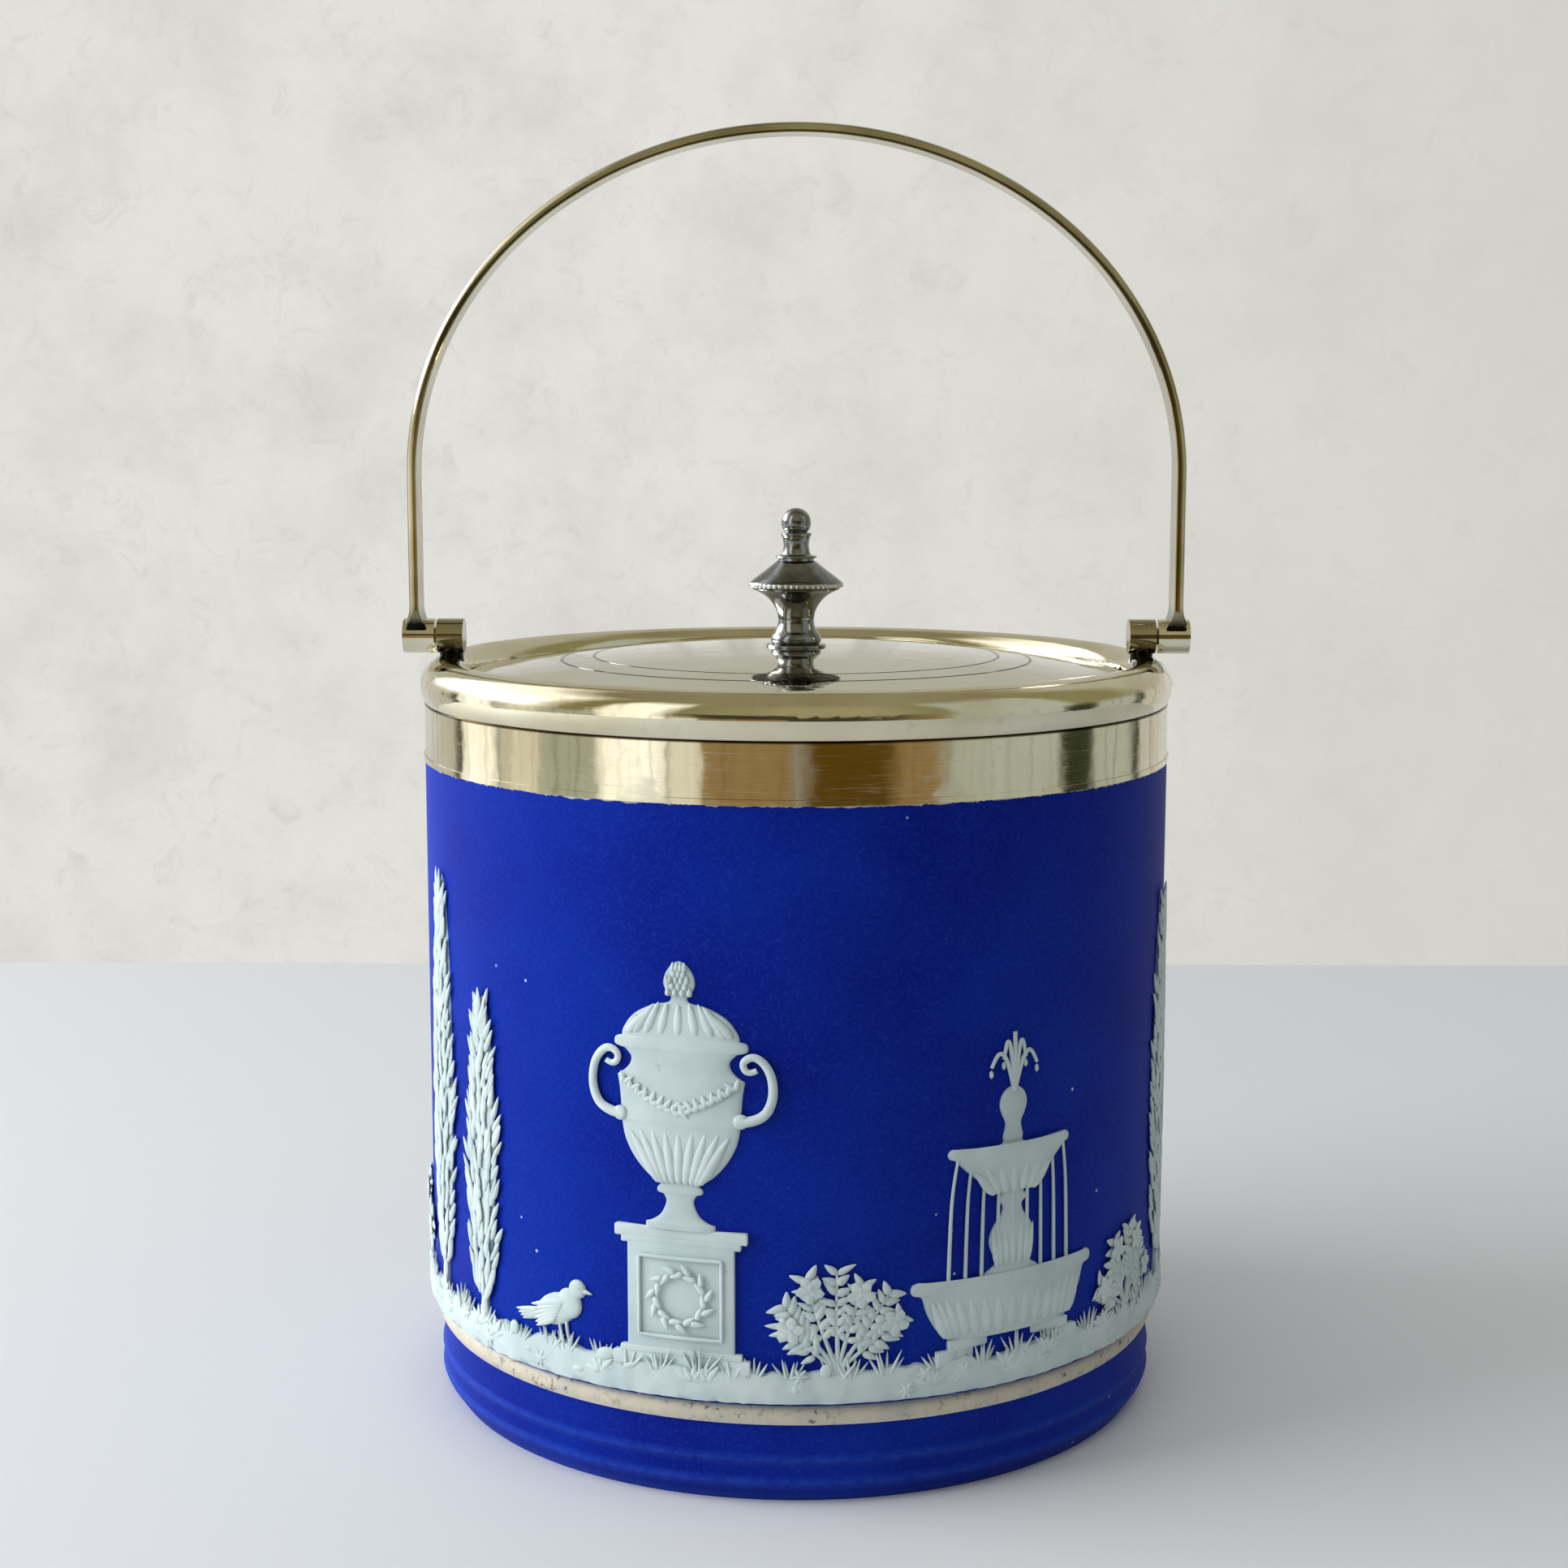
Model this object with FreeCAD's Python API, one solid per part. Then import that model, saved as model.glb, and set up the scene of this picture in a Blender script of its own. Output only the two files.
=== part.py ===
"""Covered biscuit jar: stoneware body with white relief, plated rim mount, lid and swing bail.

Millimetres, +Z up, X along the bail's hinge axis, the front is -Y.
The origin is the centre of the foot, on the surface the jar stands on.
"""
import FreeCAD, Part
import math
import os

V = FreeCAD.Vector
UP = V(0, 0, 1)
ACROSS = V(1, 0, 0)
FULL_TURN = 360.0

# Stoneware body
body_r = 63.5
wall = 5.5
floor_z = 9.0
base_inset = 1.5
foot_inset = 1.8
foot_ring_w = 7.7
recess_depth = 2.5
foot_ridge_z = 3.5
base_ridge_z = 7.2
ridge_proud = 0.35
ridge_half = 0.9
wall_h = 92.9
neck_inset = 1.5
neck_h = 5.9

# White line at the foot of the body
line_lo = 13.1
line_w = 3.1
line_crest_inset = 0.5
line_bulge = 0.6
line_seat_depth = 0.6
line_groove_w = 0.5

# Applied relief
sprig_proud = 1.4
sprig_thin = 0.8
sprig_mid = 1.1
turf_h = 6.2
turf_wave = 0.9
turf_mounds = 23

# Garden ornaments in relief, built up in courses from the turf.
# Each course is (width at its foot, width at its top, height, proud of the wall).
fountain_courses = [
    (34.0, 32.0, 4.0, sprig_proud),
    (27.0, 33.0, 7.0, sprig_mid),
    (35.0, 35.0, 2.0, sprig_proud),
    (8.4, 4.8, 14.0, sprig_mid),
    (6.0, 21.0, 6.0, sprig_mid),
    (22.4, 22.4, 1.6, sprig_proud),
    (4.0, 2.8, 6.4, sprig_mid),
]
fountain_knob_r = 2.6
jet_l = 12.0
jet_w = 2.8
jet_spread = 28.0
urn_courses = [
    (22.0, 22.0, 3.0, sprig_proud),
    (17.2, 17.2, 16.0, sprig_mid),
    (21.2, 21.2, 3.0, sprig_proud),
    (10.8, 4.4, 6.0, sprig_mid),
    (6.0, 19.2, 9.0, sprig_mid),
    (19.2, 20.8, 8.0, sprig_proud),
    (16.0, 17.6, 4.0, sprig_mid),
    (20.8, 20.8, 1.6, sprig_proud),
    (17.6, 4.0, 5.4, sprig_mid),
]
urn_knob_r = 2.4
temple_base_courses = [
    (44.0, 44.0, 2.6, sprig_proud),
    (39.0, 39.0, 2.4, sprig_mid),
]
temple_column_h = 32.0
temple_column_w = 3.8
temple_column_step = 10.3
temple_roof_courses = [
    (37.0, 37.0, 5.0, sprig_mid),
    (39.2, 39.2, 1.6, sprig_proud),
    (35.0, 24.0, 7.4, sprig_mid),
    (24.0, 4.0, 5.0, sprig_mid),
]
temple_knob_r = 2.0
lyre_base_courses = [
    (18.0, 18.0, 5.0, sprig_proud),
    (9.2, 11.2, 5.0, sprig_mid),
]
lyre_arm_l = 24.0
lyre_arm_w = 3.6
lyre_arm_u = 4.4
lyre_arm_lean = 12.0
lyre_bar_w = 15.2
lyre_bar_h = 1.6
lyre_string_h = 17.0
lyre_string_w = 0.6
lyre_string_step = 1.8
trunk_w = 2.0
trunk_h = 6.0
bush_stem_w = 1.4
dove_body_l = 9.0
dove_body_w = 5.0
dove_breast_r = 2.6
dove_head_r = 1.7
dove_leg_h = 3.4
dove_leg_w = 0.8
dove_tail_up = 12.0

# Places round the jar, in degrees from the front towards +X
urn_at = -16.0
fountain_at = 32.0
temple_at = 180.0
lyre_at = 128.0
# Cypresses: (place, height, width)
cypresses = [
    (-66.0, 74.0, 12.0),
    (-52.0, 56.0, 10.0),
    (74.0, 70.0, 12.0),
    (146.0, 72.0, 12.0),
    (-146.0, 58.0, 10.0),
    (-106.0, 70.0, 12.0),
]
# Rose bushes: (place, height)
rose_bushes = [
    (6.0, 17.0),
    (58.0, 14.0),
    (-84.0, 16.0),
    (95.0, 16.0),
    (-124.0, 18.0),
]
# Doves: (place, facing 1 towards +X or -1)
doves = [
    (-36.0, 1),
    (112.0, -1),
]

# Rim mount
collar_t = 0.7
collar_h = 9.5
collar_lip_h = 0.9
collar_lip_proud = 0.25
roll_overhang = 0.7
roll_widest_up = 3.2
roll_side_r = 6.14
roll_top_r = 4.2
roll_inner_r = 3.4
roll_t = 0.8
seat_drop = 0.5
seat_t = 0.8
ledge_w = 3.4
throat_t = 0.8
throat_h = 11.8
cement_gap = 0.1

# Lid
lid_gap = 0.4
lid_t = 0.9
lid_rise = 4.35
lid_crown_r = 5.6
flange_gap = 0.4
flange_t = 0.8
flange_h = 9.0
scribe_r = (34.7, 40.2)
scribe_w = 0.3
scribe_depth = 0.2

# Finial
stem_foot_r = 5.15
stem_foot_h = 0.6
stem_bulge_r = 4.52
stem_bulge_up = 1.4
stem_waist_r = 3.15
stem_waist_up = 4.9
stem_flare_r = 3.25
stem_flare_up = 6.5
flare_hollow = 0.22
cap_r = 8.12
cap_under_up = 9.9
cap_edge_h = 1.5
cone_top_r = 3.25
cone_h = 3.1
cap_ring_r = 3.5
cap_ring_h = 1.4
neck_r = 2.03
neck_rise = 2.3
collarette_r = 2.48
collarette_h = 0.9
ball_r = 2.57
ball_sink = 0.55
stud_r = 1.5
stud_in_stem = 5.0
stud_below_lid = 5.5
stud_gap = 0.15
washer_r = 4.0
washer_t = 0.8
nut_af = 5.5
nut_h = 2.4

# Hinges and bail
knuckle_r = 2.95
pivot_above_roll = 3.1
lug_set_back = 0.5
lug_w = 4.5
knuckle_gap = 0.4
bail_knuckle_w = 5.4
pin_r = 1.4
pin_bury = 3.6
pin_head = 0.2
pin_running_gap = 0.06
lug_neck_wx = 4.1
lug_neck_wy = 4.8
lug_foot_wx = 5.6
lug_foot_wy = 11.0
lug_flare_drop = 3.6
bail_leg_inset = 1.5
bail_leg_h = 27.4
bail_rise = 58.6
bail_t = 1.9
bail_w = 7.0
bail_edge_t = 1.2
bail_ridge_w = 4.6
bail_foot_w = 5.4
bail_taper_h = 20.0
bail_flare_wx = 4.2
bail_flare_h = 6.0

# Values that follow from the sizes above
inner_r = body_r - wall
base_r = body_r - base_inset
foot_r = base_r - foot_inset
recess_r = foot_r - foot_ring_w - recess_depth
line_hi = line_lo + line_w
line_crest_r = body_r - line_crest_inset
shoulder_z = line_hi + line_groove_w + wall_h
neck_r_out = body_r - neck_inset
neck_z = shoulder_z + neck_h
collar_in_r = body_r - collar_t
roll_z = shoulder_z + collar_h
roll_widest_r = body_r + roll_overhang
roll_widest_z = roll_z + roll_widest_up
roll_crest_r = roll_widest_r - roll_top_r
roll_crest_z = roll_widest_z + roll_top_r
roll_mouth_r = roll_crest_r - roll_inner_r
roll_mouth_z = roll_crest_z - roll_inner_r
ledge_z = roll_mouth_z - seat_drop
throat_r = roll_mouth_r - ledge_w
lid_r = roll_mouth_r - lid_gap
lid_crown_z = ledge_z + lid_t + lid_rise
lid_under_crown_z = lid_crown_z - lid_t
line_edge_r = line_crest_r - line_bulge
line_seat_r = line_edge_r - line_seat_depth
turf_z = line_hi + line_groove_w
turf_top = line_hi + turf_h
sprig_foot = turf_top + turf_wave
pivot_z = roll_crest_z + pivot_above_roll
lug_in = roll_mouth_r + lug_set_back
lug_out = lug_in + lug_w
bail_knuckle_in = lug_out + knuckle_gap
bail_knuckle_out = bail_knuckle_in + bail_knuckle_w
bail_half_w = bail_knuckle_in + bail_leg_inset + bail_t
bail_spring_z = pivot_z + bail_leg_h


def line(a, b):
    return Part.LineSegment(a, b).toShape()


def arc(a, mid, b):
    return Part.Arc(a, mid, b).toShape()


def rz(r, z):
    return V(r, 0, z)


def turned(edges):
    """One full turn about Z of a closed outline of edges, drawn at y = 0."""
    face = Part.Face(Part.Wire(edges))
    return face.revolve(V(0, 0, 0), UP, FULL_TURN)


def turned_points(points):
    """A turned solid whose outline has straight sides between (r, z) points."""
    corners = [rz(r, z) for r, z in points]
    corners.append(corners[0])
    return turned(Part.makePolygon(corners).Edges)


def tube(r_in, r_out, z_lo, z_hi):
    height = z_hi - z_lo
    outer = Part.makeCylinder(r_out, height, V(0, 0, z_lo))
    return outer.cut(Part.makeCylinder(r_in, height, V(0, 0, z_lo)))


def on_circle(centre_r, centre_z, radius, degrees):
    angle = math.radians(degrees)
    return rz(centre_r + radius * math.cos(angle), centre_z + radius * math.sin(angle))


def around(shape, degrees):
    turned_shape = shape.copy()
    turned_shape.rotate(V(0, 0, 0), UP, degrees)
    return turned_shape


def jar_body():
    """Thrown body: foot ring, two soft ridges, straight wall and a neck that the mount goes over."""
    outline = [
        (0, recess_depth),
        (recess_r, recess_depth),
        (recess_r + recess_depth, 0),
        (foot_r, 0),
        (base_r, foot_ridge_z - ridge_half),
        (base_r + ridge_proud, foot_ridge_z),
        (base_r, foot_ridge_z + ridge_half),
        (base_r, base_ridge_z - ridge_half),
        (base_r + ridge_proud, base_ridge_z),
        (base_r, base_ridge_z + ridge_half),
        (base_r, line_lo),
        (line_seat_r, line_lo),
        (line_seat_r, line_hi),
        (body_r, turf_z),
        (body_r, shoulder_z),
        (neck_r_out, shoulder_z),
        (neck_r_out, neck_z),
        (inner_r, neck_z),
        (inner_r, floor_z + wall),
        (inner_r - wall, floor_z),
        (0, floor_z),
    ]
    return turned_points(outline)


def white_line():
    """Half-round slip band in its own shallow seat round the body."""
    lo = rz(line_edge_r, line_lo)
    hi = rz(line_edge_r, line_hi)
    crest = rz(line_crest_r, (line_lo + line_hi) / 2)
    seat_lo = rz(line_seat_r, line_lo)
    seat_hi = rz(line_seat_r, line_hi)
    return turned([line(seat_lo, lo), arc(lo, crest, hi), line(hi, seat_hi), line(seat_hi, seat_lo)])


def turf_band():
    """Applied band of turf with a row of low mounds along its top edge."""
    ring = tube(body_r, body_r + sprig_proud, turf_z, turf_top)
    shell = tube(body_r, body_r + sprig_mid, turf_z, turf_top + turf_wave)
    mounds = []
    for index in range(turf_mounds):
        centre = V(0, 0, turf_top + turf_wave - turf_h)
        mound = Part.makeCylinder(turf_h, body_r + sprig_proud, centre, V(0, -1, 0))
        mounds.append(around(mound, FULL_TURN * index / turf_mounds).common(shell))
    return ring.fuse(mounds).removeSplitter()


# Relief patches are flat faces in (u, z), with u along the wall from the motif's middle.

def on_wall(u, z):
    return V(body_r * math.sin(u / body_r), 0, z)


def patch(points):
    corners = [on_wall(u, z) for u, z in points]
    corners.append(corners[0])
    return Part.Face(Part.makePolygon(corners))


def slab(width_lo, width_hi, z_lo, z_hi, u=0.0):
    lo = width_lo / 2
    hi = width_hi / 2
    return patch([(u - lo, z_lo), (u + lo, z_lo), (u + hi, z_hi), (u - hi, z_hi)])


def disc(u, z, radius):
    return Part.Face(Part.Wire(Part.makeCircle(radius, on_wall(u, z), V(0, -1, 0))))


def leaf(u, z, length, width, degrees):
    """Pointed leaf from (u, z), made of two arcs."""
    angle = math.radians(degrees)
    base = on_wall(u, z)
    along = V(math.cos(angle), 0, math.sin(angle))
    side = V(-math.sin(angle), 0, math.cos(angle))
    tip = base + along * length
    belly = base + along * (length / 2)
    upper = arc(base, belly + side * (width / 2), tip)
    lower = arc(tip, belly - side * (width / 2), base)
    return Part.Face(Part.Wire([upper, lower]))


def joined(shapes):
    return shapes[0].fuse(shapes[1:]) if len(shapes) > 1 else shapes[0]


def raise_from_wall(layers, degrees):
    """Solid relief from (patch, proud of the wall) pairs, in steps outwards, set round the jar."""
    steps = []
    inner = 0.0
    for proud in sorted({layer[1] for layer in layers}):
        sheet = joined([layer[0] for layer in layers if layer[1] >= proud])
        box = sheet.BoundBox
        shell = tube(body_r + inner, body_r + proud, box.ZMin, box.ZMax)
        prisms = [face.extrude(V(0, -(body_r + sprig_proud), 0)) for face in sheet.Faces]
        steps += [prism.common(shell) for prism in prisms]
        inner = proud
    return around(joined(steps).removeSplitter(), degrees)


def courses_up(courses, foot):
    """Layers of a built-up ornament, and the height of its top."""
    layers = []
    z = foot
    for width_lo, width_hi, height, proud in courses:
        layers.append((slab(width_lo, width_hi, z, z + height), proud))
        z += height
    return layers, z


def fountain(foot):
    """Two-tier garden fountain: plinth, lower basin, stem, upper bowl and jet."""
    layers, top = courses_up(fountain_courses, foot)
    layers.append((disc(0, top + fountain_knob_r / 2, fountain_knob_r), sprig_mid))
    for lean in (-jet_spread, 0, jet_spread):
        layers.append((leaf(0, top + fountain_knob_r, jet_l, jet_w, 90 + lean), sprig_thin))
    return layers


def covered_urn(foot):
    """Covered garden urn on a square pedestal."""
    layers, top = courses_up(urn_courses, foot)
    layers.append((disc(0, top + urn_knob_r / 2, urn_knob_r), sprig_mid))
    return layers


def garden_temple(foot):
    """Small round temple: steps, four columns, entablature and dome."""
    layers, column_foot = courses_up(temple_base_courses, foot)
    column_top = column_foot + temple_column_h
    roof, top = courses_up(temple_roof_courses, column_top)
    for place in (-1.5, -0.5, 0.5, 1.5):
        u = place * temple_column_step
        column = slab(temple_column_w, temple_column_w, column_foot, column_top, u)
        layers.append((column, sprig_mid))
    layers.append((disc(0, top + temple_knob_r / 2, temple_knob_r), sprig_mid))
    return layers + roof


def lyre(foot):
    """Lyre standing on a low block."""
    layers, sound_top = courses_up(lyre_base_courses, foot)
    bar_z = sound_top + lyre_string_h
    layers.append((slab(lyre_bar_w, lyre_bar_w, bar_z, bar_z + lyre_bar_h), sprig_mid))
    for side in (-1, 1):
        arm_foot = sound_top + lyre_bar_h - lyre_arm_u
        arm = leaf(lyre_arm_u * side, arm_foot, lyre_arm_l, lyre_arm_w, 90 - lyre_arm_lean * side)
        layers.append((arm, sprig_mid))
    for place in (-1, 0, 1):
        string = slab(lyre_string_w, lyre_string_w, sound_top, bar_z, place * lyre_string_step)
        layers.append((string, sprig_thin))
    return layers


def cypress(foot, height, width):
    """Slender cypress on a short trunk."""
    return [
        (slab(trunk_w, trunk_w, foot, foot + 2 * trunk_h), sprig_thin),
        (leaf(0, foot + trunk_h, height - trunk_h, width, 90), sprig_mid),
    ]


def rose_bush(foot, height):
    """Low rounded bush of three clumps on a stem."""
    clump_r = height / 3
    side_z = foot + height / 2
    return [
        (slab(bush_stem_w, bush_stem_w, foot, side_z), sprig_thin),
        (disc(-clump_r * 0.8, side_z, clump_r), sprig_mid),
        (disc(clump_r * 0.8, side_z, clump_r), sprig_mid),
        (disc(0, foot + height - clump_r, clump_r), sprig_mid),
    ]


def dove(foot, facing):
    """Standing dove: body with its tail, breast, head and leg."""
    body_z = foot + dove_leg_h + dove_breast_r / 2
    tail_angle = 90 + (90 - dove_tail_up) * facing
    breast_u = dove_body_w / 2 * facing
    head_u = breast_u + dove_head_r * facing
    head_z = body_z + dove_breast_r + dove_head_r / 2
    return [
        (leaf(head_u, body_z, dove_body_l, dove_body_w, tail_angle), sprig_mid),
        (disc(breast_u, body_z, dove_breast_r), sprig_mid),
        (disc(head_u, head_z, dove_head_r), sprig_mid),
        (slab(dove_leg_w, dove_leg_w, foot, body_z, breast_u), sprig_thin),
    ]


def group(shapes):
    return Part.makeCompound([solid for shape in shapes for solid in shape.Solids])


def collar_band():
    """Sheet band round the neck, standing on the body's shoulder, with a thin lip at its foot."""
    band = tube(collar_in_r, body_r, shoulder_z, roll_z)
    lip = tube(collar_in_r, body_r + collar_lip_proud, shoulder_z, shoulder_z + collar_lip_h)
    return band.fuse(lip).removeSplitter()


def roll_section(inset):
    """Outline of the rim roll, moved in from the outside by inset, down to the collar's top."""
    side_r = roll_side_r - inset
    side_c = roll_widest_r - roll_side_r
    side_low = -math.degrees(math.asin(roll_widest_up / side_r))
    foot = on_circle(side_c, roll_widest_z, side_r, side_low)
    side_mid = on_circle(side_c, roll_widest_z, side_r, side_low / 2)
    widest = rz(roll_widest_r - inset, roll_widest_z)
    top_r = roll_top_r - inset
    top_mid = on_circle(roll_crest_r, roll_widest_z, top_r, 45)
    crest = rz(roll_crest_r, roll_widest_z + top_r)
    mouth_r = roll_inner_r - inset
    mouth_mid = on_circle(roll_crest_r, roll_mouth_z, mouth_r, 135)
    mouth = rz(roll_crest_r - mouth_r, roll_mouth_z)
    inner_foot = rz(roll_crest_r - mouth_r, roll_z)
    return [
        arc(foot, side_mid, widest),
        arc(widest, top_mid, crest),
        arc(crest, mouth_mid, mouth),
        line(mouth, inner_foot),
        line(inner_foot, foot),
    ]


def rim_roll():
    """Hollow half-round roll of sheet; its inner side ends on the lid's ledge."""
    shell = turned(roll_section(0.0)).cut(turned(roll_section(roll_t)))
    return shell.cut(Part.makeCylinder(roll_mouth_r + roll_t, ledge_z, V(0, 0, 0)))


def seat_ring():
    """Ledge that carries the lid, with the throat sleeve hanging from its inner edge."""
    ledge = tube(throat_r, roll_mouth_r + roll_t, ledge_z - seat_t, ledge_z)
    sleeve = tube(throat_r, throat_r + throat_t, ledge_z - throat_h, ledge_z)
    return ledge.fuse(sleeve).removeSplitter()


def rim_cement():
    """Plaster that beds the mount on the neck."""
    side_r = roll_side_r - roll_t
    roll_foot_r = roll_widest_r - roll_side_r + math.sqrt(side_r ** 2 - roll_widest_up ** 2)
    upper_r = roll_foot_r - cement_gap
    return turned_points([
        (neck_r_out, shoulder_z + cement_gap),
        (collar_in_r, shoulder_z + cement_gap),
        (collar_in_r, roll_z),
        (upper_r, roll_z),
        (upper_r, ledge_z - seat_t),
        (throat_r + throat_t, ledge_z - seat_t),
        (throat_r + throat_t, neck_z),
        (neck_r_out, neck_z),
    ])


def lid_dome_r():
    """Radius of the lid's dome in section."""
    reach = lid_r - lid_crown_r
    return (reach ** 2 + lid_rise ** 2) / (2 * lid_rise)


def lid_drop(radius):
    """How far the lid's surface has fallen from its crown at a radius."""
    dome_r = lid_dome_r()
    return dome_r - math.sqrt(dome_r ** 2 - (radius - lid_crown_r) ** 2)


def lid_plate():
    """Shallow spun dome with two scribed circles and a hole for the finial's stud."""
    edge_top = rz(lid_r, ledge_z + lid_t)
    edge_low = rz(lid_r, ledge_z)
    mid_r = (lid_crown_r + lid_r) / 2
    mid_drop = lid_drop(mid_r)
    crown = rz(lid_crown_r, lid_crown_z)
    crown_under = rz(lid_crown_r, lid_under_crown_z)
    hole_top = rz(stud_r + stud_gap, lid_crown_z)
    hole_low = rz(stud_r + stud_gap, lid_under_crown_z)
    plate = turned([
        line(hole_top, crown),
        arc(crown, rz(mid_r, lid_crown_z - mid_drop), edge_top),
        line(edge_top, edge_low),
        arc(edge_low, rz(mid_r, lid_under_crown_z - mid_drop), crown_under),
        line(crown_under, hole_low),
        line(hole_low, hole_top),
    ])
    for radius in scribe_r:
        surface = lid_crown_z - lid_drop(radius)
        groove = turned_points([
            (radius, surface - scribe_depth),
            (radius + scribe_w, surface + scribe_depth),
            (radius - scribe_w, surface + scribe_depth),
        ])
        plate = plate.cut(groove)
    return plate


def lid_flange():
    """Short sleeve under the lid that drops into the throat."""
    outer = throat_r - flange_gap
    inner = outer - flange_t
    sleeve = tube(inner, outer, ledge_z - flange_h, lid_under_crown_z - lid_drop(inner))
    return sleeve.cut(lid_plate())


def finial_stem():
    """Turned foot and waist of the finial, flaring up under the cap."""
    base = lid_crown_z
    flare = base + stem_flare_up
    under = base + cap_under_up
    waist = rz(stem_waist_r, base + stem_waist_up)
    bulge = rz(stem_bulge_r, base + stem_bulge_up)
    flare_low = rz(stem_flare_r, flare)
    flare_top = rz(cap_r, under)
    flare_mid = rz(stem_flare_r + (cap_r - stem_flare_r) * flare_hollow, (flare + under) / 2)
    outline = [
        line(rz(0, base), rz(stem_foot_r, base)),
        line(rz(stem_foot_r, base), rz(stem_foot_r, base + stem_foot_h)),
        line(rz(stem_foot_r, base + stem_foot_h), bulge),
        line(bulge, waist),
        line(waist, flare_low),
        arc(flare_low, flare_mid, flare_top),
        line(flare_top, rz(0, under)),
        line(rz(0, under), rz(0, base)),
    ]
    bore = Part.makeCylinder(stud_r, stud_in_stem, V(0, 0, base))
    return turned(outline).cut(bore)


def finial_cap():
    """Disc with a milled edge, low cone, ring, neck and ball."""
    z = lid_crown_z + cap_under_up
    edge_top = z + cap_edge_h
    cone_top = edge_top + cone_h
    ring_top = cone_top + cap_ring_h
    neck_top = ring_top + neck_rise
    flange_top = neck_top + collarette_h
    stack = turned_points([
        (0, z),
        (cap_r, z),
        (cap_r, edge_top),
        (cone_top_r, cone_top),
        (cap_ring_r, cone_top),
        (cap_ring_r, ring_top),
        (neck_r, ring_top + neck_rise / 3),
        (neck_r, neck_top - neck_rise / 3),
        (collarette_r, neck_top),
        (collarette_r, flange_top),
        (0, flange_top),
    ])
    ball = Part.makeSphere(ball_r, V(0, 0, flange_top + ball_r - ball_sink))
    return stack.fuse(ball).removeSplitter()


def finial_stud():
    low = lid_under_crown_z - stud_below_lid
    return Part.makeCylinder(stud_r, lid_crown_z + stud_in_stem - low, V(0, 0, low))


def finial_washer():
    return tube(stud_r, washer_r, lid_under_crown_z - washer_t, lid_under_crown_z)


def on_flat_circle(radius, degrees, z):
    angle = math.radians(degrees)
    return V(radius * math.cos(angle), radius * math.sin(angle), z)


def finial_nut():
    top = lid_under_crown_z - washer_t
    corner_r = nut_af / math.sqrt(3)
    corners = [on_flat_circle(corner_r, 60 * corner, top) for corner in range(7)]
    block = Part.Face(Part.makePolygon(corners)).extrude(V(0, 0, -nut_h))
    return block.cut(Part.makeCylinder(stud_r, nut_h, V(0, 0, top - nut_h)))


def barrel(x_lo, x_hi, radius):
    return Part.makeCylinder(radius, x_hi - x_lo, V(x_lo, 0, pivot_z), ACROSS)


def lug_ring(z, centre_x, wx, wy):
    """Closed rounded outline across the lug's neck at one height."""
    ellipse = Part.Ellipse(V(centre_x, 0, z), max(wx, wy) / 2, min(wx, wy) / 2)
    ellipse.XAxis = V(0, 1, 0) if wy > wx else V(1, 0, 0)
    return Part.Wire(ellipse.toShape())


def hinge_lug():
    """Right-hand ear: knuckle on a waisted neck that spreads onto the roll."""
    middle = (lug_in + lug_out) / 2
    neck = Part.makeLoft([
        lug_ring(roll_widest_z, middle, lug_foot_wx, lug_foot_wy),
        lug_ring(pivot_z - lug_flare_drop, middle, lug_neck_wx, lug_neck_wy),
        lug_ring(pivot_z, middle, lug_neck_wx, lug_neck_wy),
    ], True)
    ear = barrel(lug_in, lug_out, knuckle_r).fuse(neck)
    ear = ear.cut(turned(roll_section(0.0)))
    ear = ear.cut(Part.makeCylinder(roll_mouth_r, roll_crest_z, V(0, 0, 0)))
    ear = ear.cut(barrel(lug_out - pin_bury, lug_out, pin_r))
    return ear.removeSplitter()


def hinge_pin():
    return barrel(lug_out - pin_bury, bail_knuckle_out + pin_head, pin_r)


def bail_knuckle():
    """Right-hand barrel of the bail, bored to run on the pin."""
    body = barrel(bail_knuckle_in, bail_knuckle_out, knuckle_r)
    return body.cut(barrel(bail_knuckle_in, bail_knuckle_out, pin_r + pin_running_gap))


def arch_edge(half_w, rise):
    """Half ellipse over the bail's springing line, from the right leg to the left."""
    centre = V(0, 0, bail_spring_z)
    right = centre + V(half_w, 0, 0)
    top = centre + V(0, 0, rise)
    if half_w > rise:
        return Part.ArcOfEllipse(Part.Ellipse(right, top, centre), 0, math.pi).toShape()
    ellipse = Part.Ellipse(top, right, centre)
    return Part.ArcOfEllipse(ellipse, -math.pi / 2, math.pi / 2).toShape()


def bail_prism(half_w, rise, width):
    """Solid under the arch down to the hinge axis, as wide as given across the strip."""
    y = width / 2
    arch = arch_edge(half_w, rise)
    ends = sorted((vertex.Point for vertex in arch.Vertexes), key=lambda point: point.x)
    left_foot = V(ends[0].x, 0, pivot_z)
    right_foot = V(ends[-1].x, 0, pivot_z)
    outline = Part.Wire([arch, line(ends[0], left_foot), line(left_foot, right_foot),
                         line(right_foot, ends[-1])])
    face = Part.Face(outline)
    face.translate(V(0, -y, 0))
    return face.extrude(V(0, width, 0))


def bail_taper(side):
    """Wedge cut from one edge of both legs, so that they narrow towards the hinge."""
    reach = 2 * bail_half_w
    corners = [
        V(-reach, side * bail_foot_w / 2, pivot_z),
        V(-reach, side * bail_w / 2, pivot_z + bail_taper_h),
        V(-reach, side * bail_w, pivot_z + bail_taper_h),
        V(-reach, side * bail_w, pivot_z),
    ]
    corners.append(corners[0])
    return Part.Face(Part.makePolygon(corners)).extrude(V(2 * reach, 0, 0))


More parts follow.
